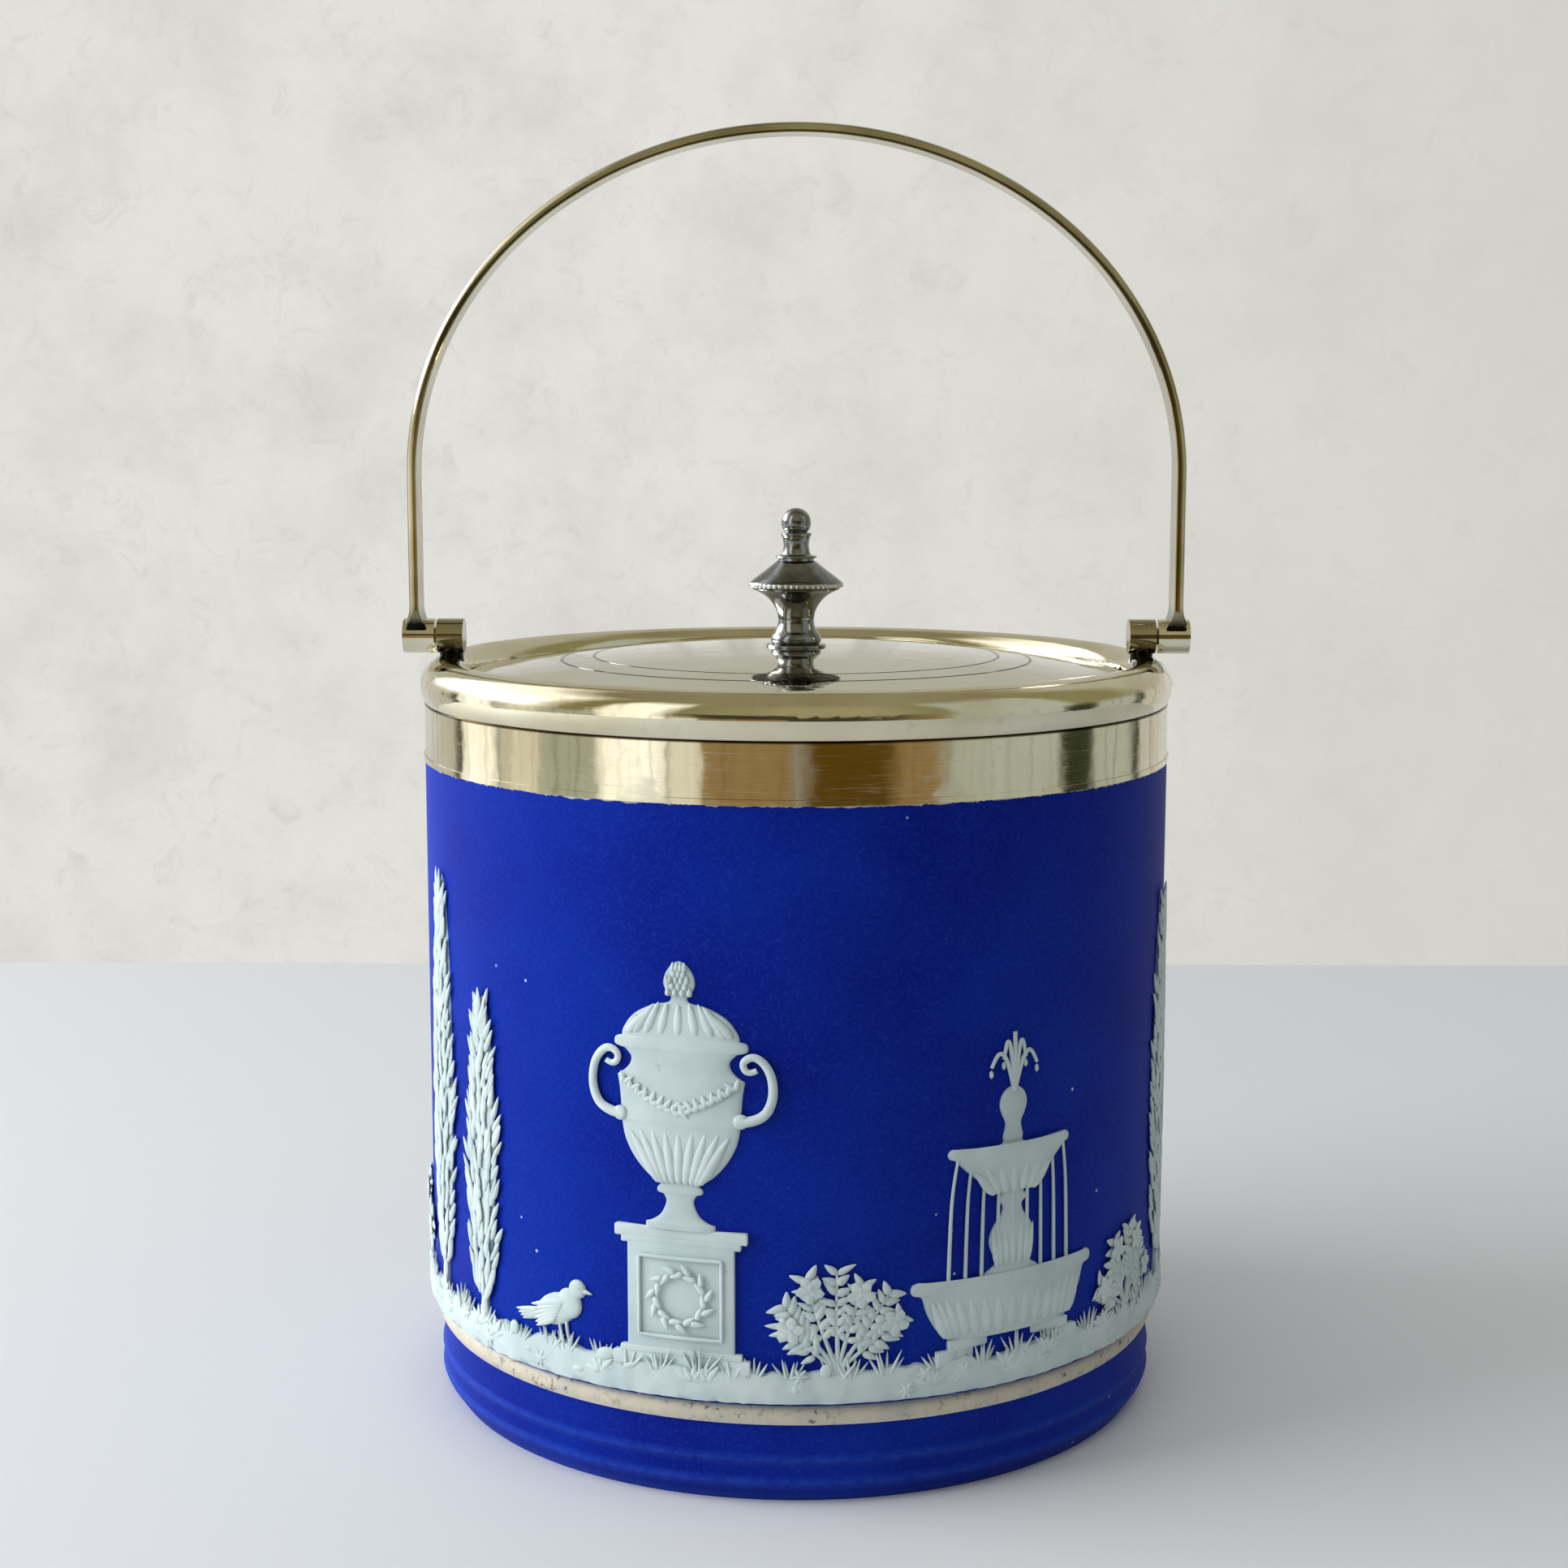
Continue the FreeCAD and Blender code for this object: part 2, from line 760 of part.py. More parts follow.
def bail_flare(side):
    """Foot of one leg, spreading along the hinge axis onto its knuckle."""
    middle = side * (bail_half_w - bail_t / 2)
    rings = []
    y = bail_foot_w / 2
    for wide, z in ((bail_flare_wx, pivot_z), (bail_t, pivot_z + bail_flare_h)):
        x = wide / 2
        corners = [V(middle - x, -y, z), V(middle + x, -y, z), V(middle + x, y, z), V(middle - x, y, z)]
        corners.append(corners[0])
        rings.append(Part.makePolygon(corners))
    return Part.makeLoft(rings, True)


def bail_bow():
    """Flat strip bent to the arch: flat inside, outside with a raised middle between thin edges."""
    edge_inset = bail_t - bail_edge_t
    outer = bail_prism(bail_half_w, bail_rise, bail_ridge_w)
    outer = outer.fuse(bail_prism(bail_half_w - edge_inset, bail_rise - edge_inset, bail_w))
    strip = outer.cut(bail_prism(bail_half_w - bail_t, bail_rise - bail_t, 2 * bail_w))
    strip = strip.fuse([bail_flare(-1), bail_flare(1)])
    strip = strip.cut([bail_taper(-1), bail_taper(1)])
    return strip.cut(barrel(-bail_knuckle_out, bail_knuckle_out, knuckle_r)).removeSplitter()


def mirrored(shape):
    return shape.mirror(V(0, 0, 0), ACROSS)


def build():
    """Every node of the jar, by name."""
    lug = hinge_lug()
    pin = hinge_pin()
    knuckle = bail_knuckle()
    foot = sprig_foot
    return {
        "jar_body": jar_body(),
        "white_line": white_line(),
        "turf_band": turf_band(),
        "covered_urn_relief": raise_from_wall(covered_urn(foot), urn_at),
        "fountain_relief": raise_from_wall(fountain(foot), fountain_at),
        "temple_relief": raise_from_wall(garden_temple(foot), temple_at),
        "lyre_relief": raise_from_wall(lyre(foot), lyre_at),
        "cypress_relief": group([raise_from_wall(cypress(foot, height, width), place)
                                 for place, height, width in cypresses]),
        "rose_bush_relief": group([raise_from_wall(rose_bush(foot, height), place)
                                   for place, height in rose_bushes]),
        "dove_relief": group([raise_from_wall(dove(foot, facing), place) for place, facing in doves]),
        "rim_cement": rim_cement(),
        "collar_band": collar_band(),
        "rim_roll": rim_roll(),
        "seat_ring": seat_ring(),
        "right_lug": lug,
        "left_lug": mirrored(lug),
        "right_hinge_pin": pin,
        "left_hinge_pin": mirrored(pin),
        "bail_bow": bail_bow(),
        "right_bail_knuckle": knuckle,
        "left_bail_knuckle": mirrored(knuckle),
        "lid_plate": lid_plate(),
        "lid_flange": lid_flange(),
        "finial_stem": finial_stem(),
        "finial_cap": finial_cap(),
        "finial_stud": finial_stud(),
        "finial_washer": finial_washer(),
        "finial_nut": finial_nut(),
    }


os.makedirs("parts", exist_ok=True)
for name, shape in build().items():
    shape.exportStep("parts/" + name + ".step")
    box = shape.BoundBox
    print(name, len(shape.Solids), shape.isValid(), round(shape.Volume, 2),
          [round(value, 2) for value in (box.XMin, box.YMin, box.ZMin, box.XMax, box.YMax, box.ZMax)])
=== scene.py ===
import random
from math import asin, atan2, copysign, cos, degrees, hypot, pi, radians, sin, tanh

import bmesh
import bpy
from mathutils import Matrix, Vector, noise


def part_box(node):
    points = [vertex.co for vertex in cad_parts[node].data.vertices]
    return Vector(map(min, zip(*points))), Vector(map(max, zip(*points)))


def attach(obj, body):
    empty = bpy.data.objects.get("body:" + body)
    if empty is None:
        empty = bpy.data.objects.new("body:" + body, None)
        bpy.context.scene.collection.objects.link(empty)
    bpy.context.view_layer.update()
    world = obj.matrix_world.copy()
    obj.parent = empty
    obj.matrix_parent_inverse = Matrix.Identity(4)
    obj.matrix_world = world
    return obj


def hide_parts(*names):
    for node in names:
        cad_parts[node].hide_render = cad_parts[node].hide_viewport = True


# Covered biscuit jar: cobalt stoneware with white sprigs, plated mount, domed lid, swing bail.
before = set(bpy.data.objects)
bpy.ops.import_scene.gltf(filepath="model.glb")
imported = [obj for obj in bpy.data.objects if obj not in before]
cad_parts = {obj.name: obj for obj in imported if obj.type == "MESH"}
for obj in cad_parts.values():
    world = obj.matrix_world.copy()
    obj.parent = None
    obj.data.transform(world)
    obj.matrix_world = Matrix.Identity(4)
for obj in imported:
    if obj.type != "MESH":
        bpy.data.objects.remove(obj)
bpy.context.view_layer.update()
mm = 0.001
print("frame loaded,", len(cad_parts), "nodes")


# Colours and nodes

def toLinear(hexColour):
    channels = [int(hexColour[i:i + 2], 16) / 255 for i in (1, 3, 5)]
    return tuple(c / 12.92 if c <= 0.04045 else ((c + 0.055) / 1.055) ** 2.4 for c in channels) + (1.0,)


def setSockets(tree, node, inputs):
    # An output is linked and any other value is set; colours are given in hex
    for name, value in inputs.items():
        if isinstance(value, bpy.types.NodeSocket):
            tree.links.new(value, node.inputs[name])
        else:
            node.inputs[name].default_value = toLinear(value) if isinstance(value, str) else value


def addNode(tree, kind, inputs=None, stops=(), **settings):
    # Adds a node with its settings, inputs and colour stops, and gives back its outputs
    node = tree.nodes.new("ShaderNode" + kind)
    for name, value in settings.items():
        setattr(node, name, value)
    setSockets(tree, node, inputs or {})
    if stops:
        marks = node.color_ramp.elements
        marks.remove(marks[-1])
        marks[0].position = stops[0][0]
        marks[0].color = toLinear(stops[0][1])
        for position, colour in stops[1:]:
            marks.new(position).color = toLinear(colour)
    return node.outputs


def addMask(tree, *gates, most=1.0):
    # Share from 0 to most: a gate (value, shut, open) opens from one level to the other, and gates multiply
    mask = None
    for value, shut, opened in gates:
        levels = {"Value": value, "From Min": shut, "From Max": opened, "To Max": most}
        gate = addNode(tree, "MapRange", levels)["Result"]
        mask = gate if mask is None else addNode(tree, "Math", {0: mask, 1: gate}, operation="MULTIPLY")[0]
        most = 1.0  # only the first gate is held back
    return mask


def layColour(tree, below, colour, *gates, most=1.0):
    # Lays a colour over the one below as far as the gates are open
    mask = addMask(tree, *gates, most=most)
    return addNode(tree, "Mix", {0: mask, 6: below, 7: colour}, data_type="RGBA")[2]


def addDistance(tree, value, level):
    # How far a value is from a level, on either side
    off = addNode(tree, "Math", {0: value, 1: level}, operation="SUBTRACT")[0]
    return addNode(tree, "Math", {0: off}, operation="ABSOLUTE")[0]


def startMaterial(name, patterns):
    # Patterns are noises in space, each (size in mm, detail, roughness)
    material = bpy.data.materials.new(name)
    material.use_nodes = True
    tree = material.node_tree
    place = addNode(tree, "TexCoord")["Object"]
    noises = {}
    for key, (size, detail, rough) in patterns.items():
        levels = {"Vector": place, "Scale": 1 / (size * mm), "Detail": detail, "Roughness": rough}
        noises[key] = addNode(tree, "TexNoise", levels)["Fac"]
    return material, tree, tree.nodes["Principled BSDF"], place, noises


# Materials

def cobaltStoneware():
    # Coloured stoneware, thrown and fired unglazed: dense, dry blue with a fine grain and stray white specks
    look = {"blue": "#012695", "deep": "#001884", "salt": "#2a50b8", "speck": "#b9c8e6",
            "speckEvery": 6.5 * mm, "ridgeSheenAndScuff": "#2f55b4",
            "ridges": ((3.5, 1.3), (7.2, 1.2), (0.5, 1.2)),  # (height, half of the breadth)
            "cement": "#c9c4b4", "cementFoot": 109.4 * mm, "cementWave": 1.3 * mm, "cementSoft": 0.12 * mm,
            "grainDeep": 0.03 * mm, "roughness": 0.58, "gloss": 0.1}
    material, tree, shader, place, noises = startMaterial("unglazedCobaltStoneware", {
        "cloud": (30, 3, 0.5), "salt": (0.6, 4, 0.7), "crumb": (1.6, 5, 0.65), "grain": (0.45, 2, 0.5)})
    tones = [(0.35, look["deep"]), (0.65, look["blue"])]
    body = addNode(tree, "ValToRGB", {"Fac": noises["cloud"]}, tones)["Color"]
    body = layColour(tree, body, look["salt"], (noises["salt"], 0.5, 1.35))
    cell = addNode(tree, "TexVoronoi", {"Vector": place, "Scale": 1 / look["speckEvery"]})
    body = layColour(tree, body, look["speck"], (cell["Distance"], 0.05, 0.026), (cell["Color"], 0.52, 0.56))
    height = addNode(tree, "SeparateXYZ", {"Vector": place})["Z"]
    for ridge, half in look["ridges"]:  # ridges of the foot painted paler: a painted highlight on the crests, with rubbing where the jar is set down
        off = addDistance(tree, height, ridge * mm)
        body = layColour(tree, body, look["ridgeSheenAndScuff"], (off, half * mm, 0), (noises["crumb"], 0.2, 1.2))
    # Bedding cement squeezed out under the lip of the mount, in a ragged line
    ragged = addNode(tree, "Math", {0: noises["crumb"], 1: look["cementWave"], 2: height},
                     operation="MULTIPLY_ADD")[0]
    edge = look["cementFoot"] + look["cementWave"] / 2
    body = layColour(tree, body, look["cement"], (ragged, edge, edge + look["cementSoft"]))
    bump = addNode(tree, "Bump", {"Height": noises["grain"], "Strength": 0.35,
                                  "Distance": look["grainDeep"]})["Normal"]
    setSockets(tree, shader, {"Base Color": body, "Roughness": look["roughness"],
                              "Specular IOR Level": look["gloss"], "Normal": bump})
    return material


def sprigClay():
    # White stoneware pressed in moulds and applied as sprigs: chalky, bluish where it is thin, and greyed by
    # painted shade on the low parts of each form
    look = {"white": "#dae7e4", "shade": "#c2d2d1", "thin": "#6f8fc0", "lowPartShade": "#9fb3b6", "dirt": "#7d6f55",
            "grainDeep": 0.05 * mm, "roughness": 0.62}
    material, tree, shader, place, noises = startMaterial("appliedWhiteStoneware", {
        "cloud": (9, 4, 0.5), "dirt": (2.6, 5, 0.5), "grain": (0.5, 3, 0.5)})
    proud = addNode(tree, "Attribute", attribute_name="proud", attribute_type="GEOMETRY")["Fac"]
    tones = [(0.3, look["shade"]), (0.65, look["white"])]
    clay = addNode(tree, "ValToRGB", {"Fac": noises["cloud"]}, tones)["Color"]
    clay = layColour(tree, clay, look["thin"], (proud, 0.3, 0.0))
    # painted shade: the less proud parts of each sprig are greyed, as if less light reached them
    clay = layColour(tree, clay, look["lowPartShade"], (proud, 1.2, 0.4), most=0.5)
    clay = layColour(tree, clay, look["dirt"], (noises["dirt"], 0.69, 0.76), (proud, 1.0, 0.3))
    bump = addNode(tree, "Bump", {"Height": noises["grain"], "Strength": 0.4,
                                  "Distance": look["grainDeep"]})["Normal"]
    setSockets(tree, shader, {"Base Color": clay, "Roughness": look["roughness"], "Normal": bump})
    return material


def creamSlip():
    # Turned band of white slip, handled for years: creamy, with brown marks
    look = {"cream": "#cfc6b0", "grey": "#a9b1ac", "pale": "#dcd6c6", "brown": "#5d4c30", "foot": 13.1 * mm,
            "top": 16.2 * mm, "wave": 0.9 * mm, "deep": 0.12 * mm, "roughness": 0.5}
    material, tree, shader, place, noises = startMaterial("wornCreamSlip", {
        "cloud": (7, 5, 0.6), "mark": (1.3, 6, 0.7), "group": (14, 2, 0.5)})
    tones = [(0.48, look["cream"]), (0.8, look["grey"])]
    slip = addNode(tree, "ValToRGB", {"Fac": noises["cloud"]}, tones)["Color"]
    # The upper edge thins out over the blue, the lower one is rubbed pale
    height = addNode(tree, "SeparateXYZ", {"Vector": place})["Z"]
    wavy = addNode(tree, "Math", {0: noises["mark"], 1: look["wave"], 2: height}, operation="MULTIPLY_ADD")[0]
    slip = layColour(tree, slip, look["pale"], (wavy, look["foot"] + 1.3 * mm, look["foot"] + 0.5 * mm))
    slip = layColour(tree, slip, look["grey"], (wavy, look["top"] - 0.2 * mm, look["top"] + 0.7 * mm))
    slip = layColour(tree, slip, look["brown"], (noises["mark"], 0.54, 0.61), (noises["group"], 0.42, 0.62))
    bump = addNode(tree, "Bump", {"Height": noises["cloud"], "Strength": 0.4,
                                  "Distance": look["deep"]})["Normal"]
    setSockets(tree, shader, {"Base Color": slip, "Roughness": look["roughness"], "Normal": bump})
    return material


def silverPlate(name, tones, roughness=0.06, tarnishTop=None, tarnishDeep=0, circles=(), shadowedSeams=()):
    # Silver plate on nickel alloy, polished by hand: mirror bright and a little warm, with hairlines, dull
    # spots and the slow waves of beaten sheet; black oxide stays below tarnishTop and in circles; seams get a
    # painted shadow
    look = {"tarnish": "#15130d", "ragged": 3.2 * mm, "seamShadow": "#4d4024", "stain": "#8d8468", "stained": 0.35,
            "dull": 0.24, "hair": (150, 150, 3600), "hairDeep": 0.01 * mm, "waveDeep": 0.07 * mm}
    material, tree, shader, place, noises = startMaterial(name, {
        "cloud": (18, 3, 0.5), "spots": (2.6, 5, 0.65), "wave": (6.0, 2, 0.4)})
    metal = addNode(tree, "ValToRGB", {"Fac": noises["cloud"]}, [(0.35, tones[0]), (0.62, tones[1])])["Color"]
    stretch = addNode(tree, "Mapping",
                      {"Vector": place, "Scale": look["hair"], "Rotation": (0.05, 0.03, 0)})[0]
    hair = addNode(tree, "TexNoise", {"Vector": stretch, "Scale": 1, "Detail": 4, "Roughness": 0.7})["Fac"]
    spotted = addMask(tree, (noises["spots"], 0.6, 0.8), most=0.5)
    scratched = addMask(tree, (hair, 0.52, 0.8))
    dull = addNode(tree, "Math", {0: spotted, 1: scratched}, operation="ADD")[0]
    rough = addNode(tree, "MapRange", {"Value": dull, "To Min": roughness, "To Max": look["dull"]})["Result"]
    metal = layColour(tree, metal, look["stain"], (noises["spots"], 0.6, 0.8), most=look["stained"])
    parts = addNode(tree, "SeparateXYZ", {"Vector": place})
    if tarnishTop is not None:
        top = tarnishTop * mm - look["ragged"] / 2
        ragged = addNode(tree, "Math", {0: noises["spots"], 1: -look["ragged"], 2: parts["Z"]},
                         operation="MULTIPLY_ADD")[0]
        metal = layColour(tree, metal, look["tarnish"], (ragged, top, top - tarnishDeep * mm))
    for level, half in shadowedSeams:
        # painted shadow: a dark line along the seam, where the part above overhangs
        off = addDistance(tree, parts["Z"], level * mm)
        metal = layColour(tree, metal, look["seamShadow"], (off, half * mm, 0.3 * half * mm))
    if circles:
        flat = addNode(tree, "VectorMath", {0: place, 1: (1, 1, 0)}, operation="MULTIPLY")["Vector"]
        reach = addNode(tree, "VectorMath", {0: flat}, operation="LENGTH")["Value"]
        for radius, half in circles:
            off = addDistance(tree, reach, radius * mm)
            metal = layColour(tree, metal, look["tarnish"], (off, half * mm, 0.8 * half * mm))
    beaten = addNode(tree, "Bump", {"Height": noises["wave"], "Strength": 1.0,
                                    "Distance": look["waveDeep"]})["Normal"]
    bump = addNode(tree, "Bump", {"Height": hair, "Strength": 0.03, "Distance": look["hairDeep"],
                                  "Normal": beaten})["Normal"]
    setSockets(tree, shader, {"Base Color": metal, "Metallic": 1.0, "Roughness": rough, "Normal": bump})
    return material


def oxidisedSilver():
    # Turned silver plate left to darken: steel grey on the proud places, nearly black in the hollows
    look = {"bright": "#b4b6b6", "grey": "#6d7072", "black": "#17181a", "turning": (300, 300, 5200),
            "smooth": 0.08, "rough": 0.2}
    material, tree, shader, place, noises = startMaterial("oxidisedSilverPlate", {"wear": (1.8, 5, 0.6)})
    proud = addNode(tree, "Attribute", attribute_name="proud", attribute_type="GEOMETRY")["Fac"]
    worn = addNode(tree, "Math", {0: noises["wear"], 1: 0.5, 2: proud}, operation="MULTIPLY_ADD")[0]
    metal = addNode(tree, "ValToRGB", {"Fac": worn}, [(0.2, look["black"]), (0.55, look["grey"]),
                                                      (0.95, look["bright"])])["Color"]
    stretch = addNode(tree, "Mapping", {"Vector": place, "Scale": look["turning"]})["Vector"]
    fine = addNode(tree, "TexNoise", {"Vector": stretch, "Scale": 1, "Detail": 3})["Fac"]
    rough = addNode(tree, "MapRange",
                    {"Value": fine, "To Min": look["smooth"], "To Max": look["rough"]})["Result"]
    setSockets(tree, shader, {"Base Color": metal, "Metallic": 1.0, "Roughness": rough})
    return material


def cloudyMaterial(name, tones, cloud, roughness, metallic=1.0):
    # Hardly seen and left as it came off the tool: satin, in one tone that drifts a little
    material, tree, shader, place, noises = startMaterial(name, {"cloud": (cloud, 4, 0.5)})
    tone = addNode(tree, "ValToRGB", {"Fac": noises["cloud"]}, tones)["Color"]
    setSockets(tree, shader, {"Base Color": tone, "Metallic": metallic, "Roughness": roughness})
    return material


blue = cobaltStoneware()
white = sprigClay()
cream = creamSlip()
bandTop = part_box("collar_band")[1].z / mm
# painted shadow along the top of the band, under the rim roll
plate = silverPlate("polishedSilverPlate", ("#ccc2a4", "#d9d3bd"), shadowedSeams=((bandTop, 0.34),))
lidSilver = silverPlate("scribedSilverPlate", ("#cdc8b4", "#d8d5ca"), 0.025,
                        circles=((34.7, 0.3), (40.2, 0.36)))
# Darker copies of the plate for the lugs and the handle: tarnish, and painted shade for the dark room they
# reflect
lugPlate = silverPlate("tarnishedShadedSilverPlate", ("#8f876c", "#a79f84"), 0.08, 129.6, 2.4)
bailPlate = silverPlate("handleSilverPlate", ("#8f8666", "#b3ab8d"), 0.08, 135.0, 3.4)
dark = oxidisedSilver()
pinSteel = cloudyMaterial("drawnPinWire", ((0.35, "#6a6252"), (0.65, "#b0a78e")), 1.5, 0.3)
brass = cloudyMaterial("turnedBrass", ((0.35, "#8d7038"), (0.65, "#c9a55a")), 1.5, 0.28)
plaster = cloudyMaterial("beddingPlaster", ((0.3, "#b5ab95"), (0.7, "#d4cdbd")), 1.2, 0.85, 0.0)
print("materials ready")

nodeLooks = {
    "jar_body": blue, "white_line": cream, "rim_cement": plaster,
    "collar_band": plate, "rim_roll": plate, "seat_ring": plate, "lid_plate": lidSilver, "lid_flange": plate,
    "right_lug": lugPlate, "left_lug": lugPlate,
    "bail_bow": bailPlate, "right_bail_knuckle": plate, "left_bail_knuckle": plate,
    "right_hinge_pin": pinSteel, "left_hinge_pin": pinSteel,
    "finial_stem": dark, "finial_cap": dark,
    "finial_stud": brass, "finial_washer": brass, "finial_nut": brass,
}
for nodeName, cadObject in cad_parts.items():
    cadObject.data.materials.clear()
    cadObject.data.materials.append(nodeLooks.get(nodeName, white))


# White sprigs, modelled flat in millimetres (x along the wall, -y out of it, z up), then wrapped on the wall

wall = {"radius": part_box("jar_body")[1].x / mm, "proudest": 1.34, "buried": 0.22,
        "turfFoot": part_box("turf_band")[0].z / mm, "turfTop": 22.4}
wall["ground"] = wall["turfTop"] - 0.8  # where the motifs stand in the turf


def stampForm(target, source, matrix):
    # Adds a copy of one form to another, placed by a matrix
    mesh = bpy.data.meshes.new("stamp")
    source.to_mesh(mesh)
    mesh.transform(matrix)
    target.from_mesh(mesh)
    bpy.data.meshes.remove(mesh)


def easePoint(a, b, c, d, t):
    # Smooth curve from b to c with a before it and d after it, one coordinate at a time
    square = (2 * a - 5 * b + 4 * c - d) * t * t
    cube = (3 * b - a - 3 * c + d) * t ** 3
    return 0.5 * (2 * b + (c - a) * t + square + cube)


def easeProfile(points, steps=4):
    # Rounds a profile through its points; a point given twice stays a corner
    runs = [[points[0]]]
    for last, point in zip(points, points[1:]):
        if point == last:
            runs.append([point])
        else:
            runs[-1].append(point)
    eased = []
    for run in runs:
        ends = [run[0]] + run + [run[-1]]
        for four in zip(ends, ends[1:], ends[2:], ends[3:]):
            for step in range(steps):
                eased.append(tuple(easePoint(*values, step / steps) for values in zip(*four)))
        eased.append(run[-1])
    return [(max(r, 0.0), h) for r, h in eased]


def spinProfile(profile, steps):
    # Turned solid from (radius, height) points that start and end on the axis
    part = bmesh.new()
    chain = [part.verts.new((r, 0, h)) for r, h in easeProfile(profile)]
    edges = [part.edges.new(pair) for pair in zip(chain, chain[1:])]
    bmesh.ops.spin(part, geom=chain + edges, cent=(0, 0, 0), axis=(0, 0, 1), angle=2 * pi, steps=steps,
                   use_merge=True)
    bmesh.ops.remove_doubles(part, verts=part.verts, dist=0.001)
    bmesh.ops.recalc_face_normals(part, faces=part.faces)
    return part


def addTurned(form, profile, u, z, flat, steps=40):
    # Turned shape pressed flat against the wall; narrow parts keep more of their depth
    part = spinProfile(profile, steps)
    for vert in part.verts:
        vert.co.y = copysign(flat * abs(vert.co.y) ** 0.6, vert.co.y)
    stampForm(form, part, Matrix.Translation((u, 0, z)))
    part.free()


def addBlock(form, width, height, depth, u, z, bevel=0.25):
    # Square course of masonry, half of it in the wall
    part = bmesh.new()
    bmesh.ops.create_cube(part, size=1.0, matrix=Matrix.Diagonal((width, 2 * depth, height, 1)))
    bmesh.ops.bevel(part, geom=part.edges[:], offset=bevel, segments=2, profile=0.5, affect="EDGES",
                    material=-1)
    stampForm(form, part, Matrix.Translation((u, 0, z + height / 2)))
    part.free()


def addBlob(form, place, size, lean=0.0, finer=2):
    # Rounded lump: place is (u, proud, z), size is its three half-sizes
    part = bmesh.new()
    bmesh.ops.create_icosphere(part, subdivisions=finer, radius=1.0,
                               matrix=Matrix.Diagonal((size[0], size[1], size[2], 1)))
    turn = Matrix.Rotation(-radians(lean), 4, "Y")
    stampForm(form, part, Matrix.Translation((place[0], -place[1], place[2])) @ turn)
    part.free()


def makeLeafForm(fold=0.35):
    # Pointed leaf of unit length along x, with a raised midrib
    part = bmesh.new()
    bmesh.ops.create_uvsphere(part, u_segments=8, v_segments=6, radius=0.5,
                              matrix=Matrix.Rotation(pi / 2, 4, "Y"))
    for vert in part.verts:
        along = vert.co.x + 0.5
        taper = 1.25 - 0.85 * along
        vert.co.x = along
        vert.co.z *= taper
        vert.co.y *= taper
        if vert.co.y < 0:
            vert.co.y -= fold * max(0.0, 0.25 - abs(vert.co.z)) * taper
    return part


leafForm = makeLeafForm()


def addLeaf(form, u, proud, z, length, width, lean, thick=0.5):
    size = Matrix.Diagonal((length, 2 * thick, width, 1))
    turn = Matrix.Rotation(-radians(lean), 4, "Y")
    stampForm(form, leafForm, Matrix.Translation((u, -proud, z)) @ turn @ size)


def addLimb(form, points, thick, thin=None):
    # Round stem along (u, proud, z) points, tapering from thick to thin
    thin = thick if thin is None else thin
    curve = bpy.data.curves.new("limb", "CURVE")
    curve.dimensions = "3D"
    curve.bevel_depth = 1.0
    curve.bevel_resolution = 2
    curve.use_fill_caps = True
    curve.resolution_u = 5
    spline = curve.splines.new("NURBS")
    spline.points.add(len(points) - 1)
    for index, (u, proud, z) in enumerate(points):
        share = index / (len(points) - 1)
        spline.points[index].co = (u, -proud, z, 1)
        spline.points[index].radius = thick + (thin - thick) * share
    spline.order_u = 3
    spline.use_endpoint_u = True
    holder = bpy.data.objects.new("limb", curve)
    mesh = bpy.data.meshes.new_from_object(holder)
    form.from_mesh(mesh)
    bpy.data.objects.remove(holder)
    bpy.data.curves.remove(curve)
    bpy.data.meshes.remove(mesh)


def addRose(form, u, proud, z, radius, rng):
    # Open rose: five petals, three inner ones and a heart
    for count, reach, size in ((5, 0.62, 0.52), (3, 0.3, 0.34)):
        start = rng.uniform(0, 360)
        for index in range(count):
            lean = radians(start + 360 * index / count)
            addBlob(form, (u + radius * reach * cos(lean), proud + 0.25 * (1 - reach),
                           z + radius * reach * sin(lean)),
                    (radius * size, 0.3, radius * size * 0.8), degrees(lean), 1)
    addBlob(form, (u, proud + 0.3, z), (radius * 0.2, 0.3, radius * 0.2), 0, 1)


def wrapOnWall(form, bearing):
    # Bends the flat relief round the wall and notes how proud each point stands
    proud = form.verts.layers.float.new("proud")
    for vert in form.verts:
        depth = max(-vert.co.y, -wall["buried"])
        if depth > 0:
            depth = wall["proudest"] * tanh(depth / wall["proudest"])
        turn = radians(bearing) + vert.co.x / wall["radius"]
        reach = (wall["radius"] + depth) * mm
        vert[proud] = depth
        vert.co = (reach * sin(turn), -reach * cos(turn), vert.co.z * mm)


def finishPiece(name, form, material, body, nodes=(), smoothBelow=50):
    mesh = bpy.data.meshes.new(name)
    form.to_mesh(mesh)
    form.free()
    mesh.materials.append(material)
    mesh.shade_smooth()
    mesh.set_sharp_from_angle(angle=radians(smoothBelow))
    piece = bpy.data.objects.new(name, mesh)
    bpy.context.scene.collection.objects.link(piece)
    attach(piece, body)
    if nodes:
        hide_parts(*nodes)
    return piece


def finishSprigs(name, motifs, nodes):
    # One piece from several motifs, each a flat form and its bearing in degrees
    whole = bmesh.new()
    for form, bearing in motifs:
        wrapOnWall(form, bearing)
        mesh = bpy.data.meshes.new("motif")
        form.to_mesh(mesh)
        form.free()
        whole.from_mesh(mesh)
        bpy.data.meshes.remove(mesh)
    piece = finishPiece(name, whole, white, "jar", nodes)
    print(name, len(piece.data.polygons), "faces")


